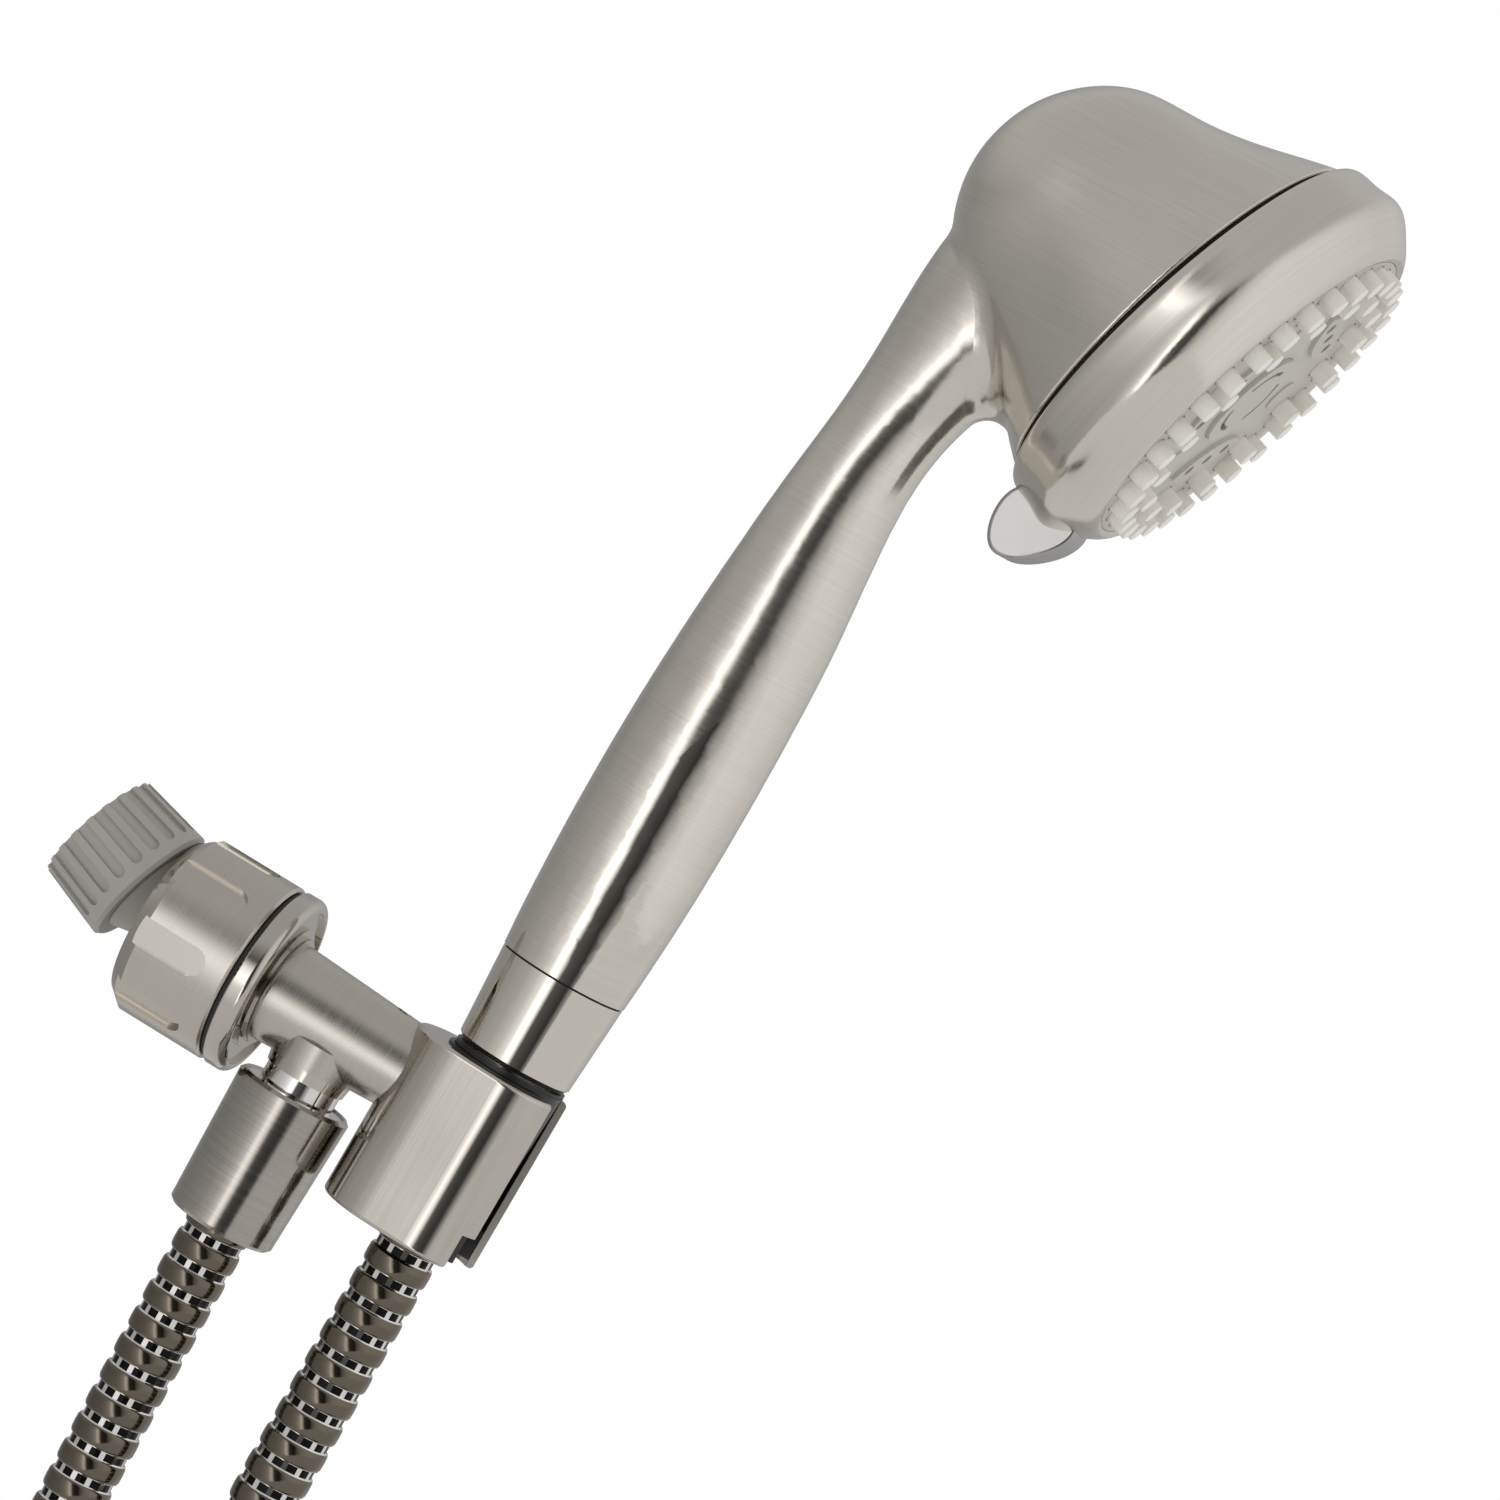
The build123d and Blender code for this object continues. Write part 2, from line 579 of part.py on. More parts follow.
def make_hose_nut():
    """Slightly tapered nut that holds the hose's insert against the spigot."""
    end = HOSE_NUT_TOP + HOSE_NUT_LENGTH
    top_r = HOSE_NUT_D / 2
    edge = HOSE_NUT_EDGE
    body = turned(
        [
            (0, HOSE_NUT_TOP),
            (top_r - edge, HOSE_NUT_TOP),
            (top_r, HOSE_NUT_TOP + edge),
            (HOSE_NUT_END_D / 2, end - edge),
            (HOSE_NUT_END_D / 2 - edge, end),
            (0, end),
        ]
    )
    body -= rod(HOSE_NUT_BORE_D, HOSE_NUT_TOP, OUTLET_SHOULDER)
    return body - rod(HOSE_HOLE_D, HOSE_NUT_TOP, end)


def make_outlet_insert():
    """Flanged hose end with the ferrule that grips the hose, on the bracket's side."""
    body = rod(INSERT_FLANGE_D, OUTLET_FLANGE_FROM, OUTLET_FLANGE_TO)
    body += rod(FERRULE_D, OUTLET_FLANGE_TO, OUTLET_HOSE_FROM)
    return body - rod(INSERT_BORE_D, OUTLET_FLANGE_FROM, OUTLET_HOSE_FROM)


# Cradle
def cradle_block(low, high):
    """Outer shape of the cradle between two heights: a round back and two rounder corners in front."""
    back = Pos(-CRADLE_BACK_AT, 0) * Circle(CRADLE_BACK_D / 2)
    corners = [
        Pos(CRADLE_CORNER_AT, side * CRADLE_CORNERS / 2) * Circle(CRADLE_CORNER_D / 2) for side in (-1, 1)
    ]
    outline = make_hull([circle.edge() for circle in [back] + corners])
    return Pos(0, 0, low) * extrude(outline, amount=high - low)


def cradle_gap(low, high, width, side=Align.CENTER):
    """Box that opens the cradle's front between two heights, across its middle or to one side of it."""
    return Pos(0, 0, low) * Box(CRADLE_BACK_D, width, high - low, align=(Align.MIN, side, Align.MIN))


def sleeve_d(height, gap=0.0):
    """Diameter of the cone nut's sleeve at a height, with a radial gap around it."""
    return SLEEVE_TOP_D - 2 * SLEEVE_TAPER * (SLEEVE_TOP - height) + 2 * gap


def make_cradle_shell():
    """Holder with a front slot, a notch beside it at the foot and a plug for the bracket."""
    body = cradle_block(CRADLE_FOOT, CRADLE_TOP)
    body = fillet(body.edges().filter_by(Axis.Z, reverse=True), CRADLE_EDGE)
    body = place(CRADLE, body) + place(BRACKET, rod(PLUG_D, PLUG_START, CRADLE_REACH + PLUG_LENGTH))
    body -= place(CRADLE, rod(LINER_D + 2 * RUNNING_FIT, CRADLE_FOOT, CRADLE_TOP))
    body -= place(CRADLE, cradle_gap(CRADLE_FOOT, CRADLE_TOP, CRADLE_SLOT))
    body -= place(CRADLE, cradle_gap(CRADLE_FOOT, CRADLE_NOTCH_TOP, CRADLE_NOTCH_REACH, Align.MAX))
    return body - place(set_screw_place(), rod(SET_SCREW_D + 2 * RUNNING_FIT, 0, SET_SCREW_LENGTH))


def make_cradle_liner():
    """Plastic bush with a conical bore for the cone nut, open in front like the cradle."""
    low = CRADLE_FOOT + LINER_FOOT
    high = CRADLE_TOP + LINER_RISE
    body = rod(LINER_D, low, high) - cone(sleeve_d(low, CONE_GAP), low, sleeve_d(high, CONE_GAP), high)
    body -= cradle_gap(low, CRADLE_NOTCH_TOP, CRADLE_SLOT)
    return body - cradle_gap(CRADLE_NOTCH_TOP, high, CRADLE_SLOT + 2 * LINER_SET_BACK)


# Hose end in the cradle
def make_cone_nut():
    """Tapered nut below the handle, with a hub that carries the sleeve."""
    thread_r = HOSE_NUT_BORE_D / 2
    hub_r = SLEEVE_BORE_D / 2 - RUNNING_FIT
    body = turned(
        [
            (0, CONE_FOOT),
            (hub_r, CONE_FOOT),
            (hub_r, CONE_LOW),
            (CONE_LOW_D / 2 - CONE_EDGE, CONE_LOW),
            (CONE_LOW_D / 2, CONE_LOW + CONE_EDGE),
            (CONE_TOP_D / 2, CONE_TOP),
            (0, CONE_TOP),
        ]
    )
    body -= rod(2 * thread_r, CONE_SHOULDER, CONE_TOP)
    return body - rod(HOSE_HOLE_D, CONE_FOOT, CONE_TOP)


def make_cone_sleeve():
    """Tapered plastic sleeve with two ridges at its top, which seats in the cradle's liner."""
    body = cone(SLEEVE_FOOT_D, CONE_FOOT, SLEEVE_TOP_D, SLEEVE_TOP)
    for i in range(SLEEVE_RIDGES):
        top = SLEEVE_TOP - 2 * i * SLEEVE_RIDGE
        body += rod(SLEEVE_TOP_D + SLEEVE_RIDGE, top - SLEEVE_RIDGE, top)
    return body - rod(SLEEVE_BORE_D, CONE_FOOT, SLEEVE_TOP)


def make_handset_insert():
    """Flanged hose end with its long ferrule, inside the cone nut."""
    body = rod(INSERT_FLANGE_D, INLET_FLANGE_FOOT, INLET_FLANGE_FOOT + INSERT_FLANGE_THICKNESS)
    body += rod(FERRULE_D, INLET_HOSE_FROM, INLET_FLANGE_FOOT)
    return body - rod(INSERT_BORE_D, INLET_HOSE_FROM, INLET_FLANGE_FOOT + INSERT_FLANGE_THICKNESS)


# Handset
def handle_edge(side, arch, flare, root, top):
    """Front or back edge of the handle and the neck, from the foot up."""
    return Spline(
        (side * HANDLE_FOOT_D / 2, 0, HANDLE_FOOT),
        (side * HANDLE_GRIP_D / 2, 0, HANDLE_GRIP_LOW),
        (side * HANDLE_GRIP_D / 2, 0, HANDLE_GRIP_HIGH),
        (side * HANDLE_TAPER_D / 2, 0, HANDLE_TAPER_AT),
        (side * NECK_WAIST_D / 2, 0, NECK_AT),
        (side * arch, 0, NECK_ARCH_AT),
        (side * flare, 0, NECK_FLARE_AT),
        (side * root, 0, NECK_ROOT_AT),
        (side * top, 0, NECK_TOP),
    )


def reach_at(curve, height):
    """How far a climbing curve lies from Z at the given height, found by halving."""
    low, high = 0.0, 1.0
    for _ in range(CURVE_HALVINGS):
        middle = (low + high) / 2
        if (curve @ middle).Z < height:
            low = middle
        else:
            high = middle
    return (curve @ low).X


def handle_solid():
    """Handle and neck, round at every height; the neck leans forward and widens into the bell."""
    front = handle_edge(1, NECK_ARCH_FRONT, NECK_FLARE_FRONT, NECK_ROOT_FRONT, NECK_TOP_FRONT)
    back = handle_edge(-1, NECK_ARCH_BACK, NECK_FLARE_BACK, NECK_ROOT_BACK, NECK_TOP_BACK)
    rounds = []
    for i in range(HANDLE_SECTIONS + 1):
        height = HANDLE_FOOT + (NECK_TOP - HANDLE_FOOT) * i / HANDLE_SECTIONS
        fore = reach_at(front, height)
        aft = reach_at(back, height)
        rounds.append(Pos((fore + aft) / 2, 0, height) * Circle((fore - aft) / 2))
    return loft(rounds)


def make_handset_body():
    """Handle, neck and bell as one moulded shell, with the water bore and the space for the spray head."""
    back = Spline(
        (BELL_RIM_D / 2, 0, 0),
        (BELL_SKIRT_D / 2, 0, -BELL_SKIRT_AT),
        (BELL_WAIST_D / 2, 0, -BELL_WAIST_AT),
        (BELL_CROWN_D / 2, 0, -BELL_CROWN_AT),
        (BELL_DOME_D / 2, 0, -BELL_DOME_AT),
        (0, 0, -BELL_DEPTH),
        tangents=((-1, 0, -2), (-1, 0, 0)),
    )
    bell = turned_curve(back, [(0, 0)])
    bell = fillet(bell.edges().group_by(Axis.Z)[-1], BELL_RIM_ROUND)
    body = place(HANDSET, handle_solid()) + place(HEAD, bell)
    seam = [e for e in body.edges() if e.geom_type == GeomType.BSPLINE and in_neck(e)]
    body = fillet(seam, NECK_FILLET)
    cavity = [
        (0, 0),
        (BELL_LEDGE_D / 2, 0),
        (BELL_LEDGE_D / 2, -BELL_LEDGE_DEPTH),
        (BELL_SKIRT_D / 2 + BELL_WALL / 2, -BELL_LEDGE_DEPTH),
        (BELL_SKIRT_D / 2 - BELL_WALL, -BELL_SKIRT_AT),
        (BELL_WAIST_D / 2 - BELL_WALL, -BELL_WAIST_AT),
        (BELL_WAIST_D / 2 - 2 * BELL_WALL, -BELL_CAVITY_DEPTH),
        (0, -BELL_CAVITY_DEPTH),
    ]
    body -= place(HEAD, turned(cavity))
    body -= place(HANDSET, rod(HANDLE_BORE_D, HANDLE_FOOT, HANDLE_BORE_TOP))
    crossway_start = HANDSET_MIDDLE + ALONG_HANDLE * (HANDLE_BORE_TOP - HEAD_CROSSWAY_D)
    crossway = Plane(origin=crossway_start, z_dir=HEAD.z_dir)
    return body - place(crossway, rod(HEAD_CROSSWAY_D, 0, BELL_CAVITY_DEPTH))


def in_neck(edge):
    """Whether an edge lies across the neck, where the handle runs into the bell."""
    middle = HANDSET.to_local_coords(edge.center())
    return NECK_ARCH_AT < middle.Z < NECK_TOP + NECK_FILLET and middle.X < NECK_FLARE_FRONT


def make_handle_inlet():
    """Threaded inlet pressed into the handle's foot, with a seat for the regulator and the screen."""
    body = rod(HOSE_THREAD_D, INLET_THREAD_FOOT, HANDLE_FOOT - SEAT_GAP)
    body += rod(HANDLE_BORE_D - 2 * RUNNING_FIT, HANDLE_FOOT - SEAT_GAP, HANDLE_FOOT + INLET_BARREL_LENGTH)
    body -= rod(INLET_BORE_D, INLET_THREAD_FOOT, INLET_THREAD_FOOT + HOSE_THREAD_LENGTH)
    return body - rod(WATERWAY_D, INLET_THREAD_FOOT, HANDLE_FOOT + INLET_BARREL_LENGTH)


def make_inlet_screen():
    """Perforated disc that keeps grit out of the handle."""
    low = INLET_THREAD_FOOT + SEAT_GAP
    body = rod(INLET_BORE_D - 2 * RUNNING_FIT, low, low + SCREEN_THICKNESS)
    hole = rod(SCREEN_HOLE_D, low, low + SCREEN_THICKNESS)
    return body - hole - around(Pos(2 * SCREEN_HOLE_D, 0, 0) * hole, SCREEN_HOLES)


def make_flow_regulator():
    """Thick disc with one hole that limits the flow."""
    low = INLET_THREAD_FOOT + SEAT_GAP + SCREEN_THICKNESS + SEAT_GAP
    return ring(INLET_BORE_D - 2 * RUNNING_FIT, REGULATOR_HOLE_D, low, low + REGULATOR_THICKNESS)


def make_water_tube():
    """Lining tube in the handle's bore."""
    low = HANDLE_FOOT + INLET_BARREL_LENGTH + SEAT_GAP
    outer = HANDLE_BORE_D - 2 * RUNNING_FIT
    return ring(outer, outer - 2 * WATER_TUBE_WALL, low, low + WATER_TUBE_LENGTH)


# Spray head, fixed side
def make_spray_chassis():
    """Plate on the bell's ledge with a hub for the face, the water port and the detent's hole."""
    body = rod(BELL_LEDGE_D - 2 * RUNNING_FIT, CHASSIS_BACK, CHASSIS_FRONT)
    body += rod(CHASSIS_BOSS_D, CHASSIS_FRONT, CHASSIS_BOSS_TOP)
    body += rod(HUB_D, CHASSIS_BOSS_TOP, HUB_TOP)
    boss = PORT_D + 2 * BELL_WALL
    body += Pos(0, PORT_AT, 0) * rod(boss, CHASSIS_FRONT, CHASSIS_BOSS_TOP - BELL_WALL)
    spring_floor = CHASSIS_BACK + SPRING_WIRE_D
    body -= Pos(0, PORT_AT, 0) * rod(PORT_D, spring_floor, CHASSIS_BOSS_TOP)
    body -= Pos(0, PORT_AT, 0) * rod(PORT_SEAL_HOLE_D, CHASSIS_BACK, CHASSIS_BOSS_TOP)
    body -= Pos(DETENT_AT, 0, 0) * rod(DETENT_D + 2 * RUNNING_FIT, spring_floor, CHASSIS_FRONT)
    return body - rod(HUB_SCREW_D + 2 * RUNNING_FIT, HUB_TOP - HUB_SCREW_LENGTH, HUB_TOP)


def make_port_seal():
    """Rubber cup that the spring presses towards the turning spreader."""
    top = SPREADER_BACK - TURN_GAP
    low = top - PORT_SEAL_LENGTH
    return Pos(0, PORT_AT, 0) * ring(PORT_D - 2 * RUNNING_FIT, PORT_SEAL_HOLE_D, low, top)


def make_seal_spring():
    """Spring behind the port seal."""
    low = CHASSIS_BACK + SPRING_WIRE_D
    high = SPREADER_BACK - TURN_GAP - PORT_SEAL_LENGTH
    coil = spring(PORT_D - 4 * SEAT_GAP, SPRING_WIRE_D, low, high, SPRING_TURNS)
    return Pos(0, PORT_AT, 0) * coil


def make_detent_pin():
    """Round-nosed pin that clicks into the notches behind the spreader."""
    tip = SPREADER_BACK - TURN_GAP / 2
    body = rod(DETENT_D, tip - DETENT_LENGTH, tip)
    return Pos(DETENT_AT, 0, 0) * fillet(body.edges().group_by(Axis.Z)[-1], DETENT_D / 3)


def make_detent_spring():
    """Spring behind the detent pin."""
    low = CHASSIS_BACK + SPRING_WIRE_D
    high = SPREADER_BACK - TURN_GAP / 2 - DETENT_LENGTH
    coil = spring(DETENT_D - 2 * SEAT_GAP, SPRING_WIRE_D / 2, low, high, SPRING_TURNS)
    return Pos(DETENT_AT, 0, 0) * coil


def make_hub_screw():
    """Shouldered screw in the hub that keeps the turning face on it."""
    body = rod(HUB_SCREW_D, HUB_TOP + SEAT_GAP - HUB_SCREW_LENGTH, HUB_TOP)
    body += rod(HUB_SCREW_HEAD_D, HUB_TOP, HUB_SCREW_HEAD_TOP)
    slot = Box(HUB_SCREW_HEAD_D, HUB_SCREW_SLOT, HUB_SCREW_HEAD_THICKNESS)
    return body - Pos(0, 0, HUB_SCREW_HEAD_TOP) * slot


# Spray head, turning side
def bezel_curve():
    """Outside of the selector ring, from its back edge to its lip."""
    return Spline(
        (BEZEL_BACK_D / 2, 0, BEZEL_BACK),
        (BEZEL_SHOULDER_D / 2, 0, BEZEL_SHOULDER_AT),
        (BEZEL_BELLY_D / 2, 0, BEZEL_BELLY_AT),
        (BEZEL_BROW_D / 2, 0, BEZEL_BROW_AT),
        (BEZEL_LIP_D / 2, 0, BEZEL_LIP_AT),
        tangents=((2, 0, 1), (-3, 0, 1)),
    )


def make_selector_bezel():
    """Convex selector ring with a rolled lip round the face."""
    corners = [
        (BEZEL_MOUTH_D / 2, FACE_AT),
        (BEZEL_MOUTH_D / 2, FACE_STEP + SEAT_GAP),
        (BEZEL_BORE_D / 2, FACE_STEP + SEAT_GAP),
        (BEZEL_BORE_D / 2, BEZEL_BACK),
    ]
    body = turned_curve(bezel_curve(), corners)
    back_edge = body.edges().filter_by(GeomType.CIRCLE).group_by(Axis.Z)[0].sort_by(SortBy.RADIUS)[-1]
    body = fillet(back_edge, BEZEL_BACK_ROUND)
    hole = rod(LEVER_SCREW_D + 2 * RUNNING_FIT, -LEVER_SCREW_LENGTH, LEVER_SCREW_LENGTH)
    return body - place(lever_screw_place(), hole)


def lever_screw_place():
    """Frame of the lever's screw: inside the selector ring, with Z outwards."""
    origin = (SEAT_GAP - BEZEL_BORE_D / 2, 0, (LEVER_BACK + LEVER_FRONT) / 2)
    return Plane(origin=origin, x_dir=(0, 1, 0), z_dir=(-1, 0, 0))


def lever_leaf():
    """Side outline of the lever, from its root round the tip and back."""
    edge = Spline(
        (-LEVER_ROOT, 0, LEVER_ROOT_BACK),
        (-LEVER_BACK_AT, 0, LEVER_BACK),
        (-LEVER_REACH, 0, LEVER_TIP),
        (-LEVER_SHOULDER_AT, 0, LEVER_SHOULDER),
        (-LEVER_ROOT, 0, LEVER_FRONT),
    )
    return make_face([edge, Line(edge @ 1, edge @ 0)])


def make_selector_lever():
    """Leaf-shaped thumb lever on the ring's lower edge, dished on both sides inside a raised rim."""
    leaf = lever_leaf()
    body = extrude(Pos(0, -LEVER_WIDTH / 2, 0) * leaf, amount=LEVER_WIDTH, dir=(0, 1, 0))
    body = fillet(body.edges().filter_by(GeomType.BSPLINE), LEVER_ROUND)
    middle = Pos(leaf.center())
    rim_share = 1 - 2 * LEVER_RIM / (LEVER_FRONT - LEVER_BACK)
    inner_leaf = middle * scale(middle.inverse() * leaf, by=rim_share)
    inside = extrude(inner_leaf, amount=LEVER_WIDTH, dir=(0, 1, 0), both=True)
    dish_middle = LEVER_WIDTH / 2 + LEVER_DISH_R - LEVER_DISH_DEPTH
    for side in (-1, 1):
        body -= inside & middle * Pos(0, side * dish_middle, 0) * Sphere(LEVER_DISH_R)
    body -= turned_curve(bezel_curve(), [(0, BEZEL_LIP_AT), (0, BEZEL_BACK)])
    hole = rod(LEVER_SCREW_D + 2 * RUNNING_FIT, -LEVER_SCREW_LENGTH, LEVER_SCREW_LENGTH)
    return body - place(lever_screw_place(), hole)


def make_lever_screw():
    """Pan-head screw from inside the ring into the lever."""
    body = rod(LEVER_SCREW_D, -LEVER_SCREW_HEAD, LEVER_SCREW_LENGTH)
    body += rod(LEVER_SCREW_HEAD_D, -LEVER_SCREW_HEAD, 0)
    return place(lever_screw_place(), body)


def make_spreader():
    """Disc on the hub that spreads the water to the nozzles and jets."""
    body = rod(SPREADER_D, SPREADER_BACK, SPREADER_FRONT)
    body -= rod(HUB_D + 2 * RUNNING_FIT, SPREADER_BACK, SPREADER_FRONT)
    channel_floor = SPREADER_FRONT - SPREADER_CHANNEL_DEPTH
    body -= ring(SPREADER_CHANNEL_OUTER_D, SPREADER_CHANNEL_INNER_D, channel_floor, SPREADER_FRONT)
    port = Pos(0, (SPREADER_CHANNEL_INNER_D + SPREADER_PORT_D) / 2, 0)
    body -= port * rod(SPREADER_PORT_D, SPREADER_BACK, SPREADER_FRONT)
    notch = Pos(DETENT_AT, 0, 0) * cone(
        DETENT_NOTCH_D, SPREADER_BACK, DETENT_NOTCH_D / 2, SPREADER_BACK + DETENT_NOTCH_DEPTH
    )
    first = -SELECTOR_STEP_ANGLE * (DETENT_NOTCHES - 1) / 2
    for i in range(DETENT_NOTCHES):
        body -= Rot(0, 0, first + i * SELECTOR_STEP_ANGLE) * notch
    recess = LEVER_SCREW_HEAD + SEAT_GAP
    pocket = rod(LEVER_SCREW_HEAD_D + 2 * TURN_GAP, -recess - SEAT_GAP, SEAT_GAP)
    return body - place(lever_screw_place(), pocket)


def nozzle_places():
    """Middle points of all nozzles: the full outer ring and the inner ring at every second one."""
    outer = [(OUTER_NOZZLE_RING_D / 2, i * 360 / OUTER_NOZZLES) for i in range(OUTER_NOZZLES)]
    shift = 180 / OUTER_NOZZLES
    inner = [(INNER_NOZZLE_RING_D / 2, shift + i * 360 / INNER_NOZZLES) for i in range(INNER_NOZZLES)]
    return [(r * cos(radians(a)), r * sin(radians(a))) for r, a in outer + inner]


def make_nozzle_mat():
    """Rubber mat behind the face with every nozzle on it."""
    body = ring(BEZEL_BORE_D - 4 * SEAT_GAP, MAT_HOLE_D, MAT_BACK, MAT_FRONT)
    nozzle = cone(NOZZLE_D, MAT_FRONT - MAT_THICKNESS / 2, NOZZLE_TIP_D, NOZZLE_REACH)
    return body + [Pos(x, y, 0) * nozzle for x, y in nozzle_places()]


def make_face_plate():
    """Face with nozzle holes, leaf-shaped islands with jets, and round pads between them."""
    body = rod(BEZEL_BORE_D - 2 * SEAT_GAP, FACE_BACK, FACE_STEP)
    body += rod(BEZEL_MOUTH_D - 2 * SEAT_GAP, FACE_STEP, FACE_AT)
    bow = (ISLAND_LENGTH**2 / 4 + ISLAND_WIDTH**2 / 4) / ISLAND_WIDTH
    leaf = Pos(bow - ISLAND_WIDTH / 2, 0) * Circle(bow) & Pos(ISLAND_WIDTH / 2 - bow, 0) * Circle(bow)
    island = Pos(ISLAND_AT, 0, FACE_STEP) * extrude(leaf, amount=FACE_AT + ISLAND_HEIGHT - FACE_STEP)
    pad = Pos(ISLAND_AT, 0, 0) * rod(PAD_D, FACE_STEP, FACE_AT + ISLAND_HEIGHT / 2)
    body += around(island, ISLANDS, ISLAND_TURN)
    body += around(pad, ISLANDS, ISLAND_TURN + 180 / ISLANDS)
    body -= rod(MIDDLE_D + 2 * SEAT_GAP, FACE_BACK, FACE_AT)
    hole = rod(NOZZLE_D + 4 * SEAT_GAP, FACE_BACK, FACE_AT + ISLAND_HEIGHT)
    body -= [Pos(x, y, 0) * hole for x, y in nozzle_places()]
    jet = rod(ISLAND_JET_D, FACE_BACK, FACE_AT + 2 * ISLAND_HEIGHT)
    for i in range(ISLAND_JETS):
        offset = (i - (ISLAND_JETS - 1) / 2) * ISLAND_JET_SPACING
        body -= around(Pos(ISLAND_AT, offset, 0) * jet, ISLANDS, ISLAND_TURN)
    return body


def make_centre_cap():
    """Plain disc in the middle of the face with three curved slots and the turbine's axle behind it."""
    body = rod(MIDDLE_D, MIDDLE_BACK, FACE_AT + ISLAND_HEIGHT)
    body += rod(AXLE_D, TURBINE_BACK, MIDDLE_BACK)
    outer = MIDDLE_SLOT_RING_D + MIDDLE_SLOT_WIDTH
    inner = MIDDLE_SLOT_RING_D - MIDDLE_SLOT_WIDTH
    front = FACE_AT + 2 * ISLAND_HEIGHT
    section = Rectangle((outer - inner) / 2, front - MIDDLE_BACK)
    section = Pos((inner + outer) / 4, (MIDDLE_BACK + front) / 2) * section
    slot = revolve(Plane.XZ * section, Axis.Z, MIDDLE_SLOT_ARC)
    return body - around(slot, ISLANDS)


def make_turbine():
    """Small bladed wheel that pulses the middle jets."""
    body = ring(TURBINE_D, AXLE_D + 2 * RUNNING_FIT, TURBINE_BACK, TURBINE_BACK + TURBINE_THICKNESS)
    gap = Rot(TURBINE_BLADE_ANGLE, 0, 0) * Box(TURBINE_D / 2, TURBINE_CUT, 4 * TURBINE_CUT)
    return body - around(Pos(TURBINE_D / 2, 0, TURBINE_BACK) * gap, TURBINE_BLADES)


# Hose
def arc_radii(points):
    """Fillet radius at each inner point of a route: as large as its two runs allow."""
    found = []
    for before, at, after in zip(points, points[1:], points[2:]):
        turn = (at - before).get_angle(after - at)
        shorter = min((at - before).length, (after - at).length)
        found.append(ARC_SHARE * shorter / tan(radians(turn / 2)))
    return found


def make_hose_run(name, points):
    """Plain tube of the hose along a route of straight runs and tangent arcs."""
    points = [Vector(*p) for p in points]
    radii = arc_radii(points)
    path = FilletPolyline(*points, radius=radii)
    section = Plane(origin=points[0], z_dir=points[1] - points[0]) * Circle(HOSE_D / 2)
    run = sweep(section, path=path)
    print(name, "radii", [round(r) for r in radii], "length", round(path.length, 1))
    return run


def coil_point(angle):
    """Point of the hose's middle line in the coil."""
    share = (angle - COIL_START) / (COIL_END - COIL_START)
    spread = COIL_HALF_WIDTH * (2 * share - 1)
    middle = Vector(*COIL_MIDDLE)
    return middle + direction(angle) * COIL_R + Vector(0, spread, 0)


def make_hose_coil():
    """Outer shape of the wound turns: a round ring with a rounded flat section."""
    section = RectangleRounded(HOSE_D, 2 * COIL_HALF_WIDTH + HOSE_D, HOSE_D / 2 - SEAT_GAP)
    ring_shape = revolve(Plane.XZ * Pos(COIL_R, 0) * section, Axis.Z)
    return Pos(*COIL_MIDDLE) * Rot(90, 0, 0) * ring_shape


def make_hose_tie():
    """Strap round the coil's turns."""
    inner_w = HOSE_D + 2 * SEAT_GAP
    inner_h = 2 * COIL_HALF_WIDTH + HOSE_D + 2 * SEAT_GAP
    wall = 2 * TIE_THICKNESS
    outer = RectangleRounded(inner_w + wall, inner_h + wall, HOSE_D / 2 + TIE_THICKNESS)
    inner = RectangleRounded(inner_w, inner_h, HOSE_D / 2)
    arc = degrees(TIE_WIDTH / COIL_R)
    band = revolve(Plane.XZ * Pos(COIL_R, 0) * (outer - inner), Axis.Z, arc)
    return Pos(*COIL_MIDDLE) * Rot(90, 0, 0) * Rot(0, 0, TIE_ANGLE - arc / 2) * band


OUTLET_START = SPIGOT.from_local_coords(Vector(0, 0, OUTLET_HOSE_FROM))
OUTLET_BEND = SPIGOT.from_local_coords(Vector(0, 0, OUTLET_HOSE_FROM + OUTLET_STRAIGHT))
HANDSET_BEND = HANDSET.from_local_coords(Vector(0, 0, INLET_HOSE_FROM - HANDSET_STRAIGHT))
HANDSET_END = HANDSET.from_local_coords(Vector(0, 0, INLET_HOSE_FROM - SEAT_GAP))

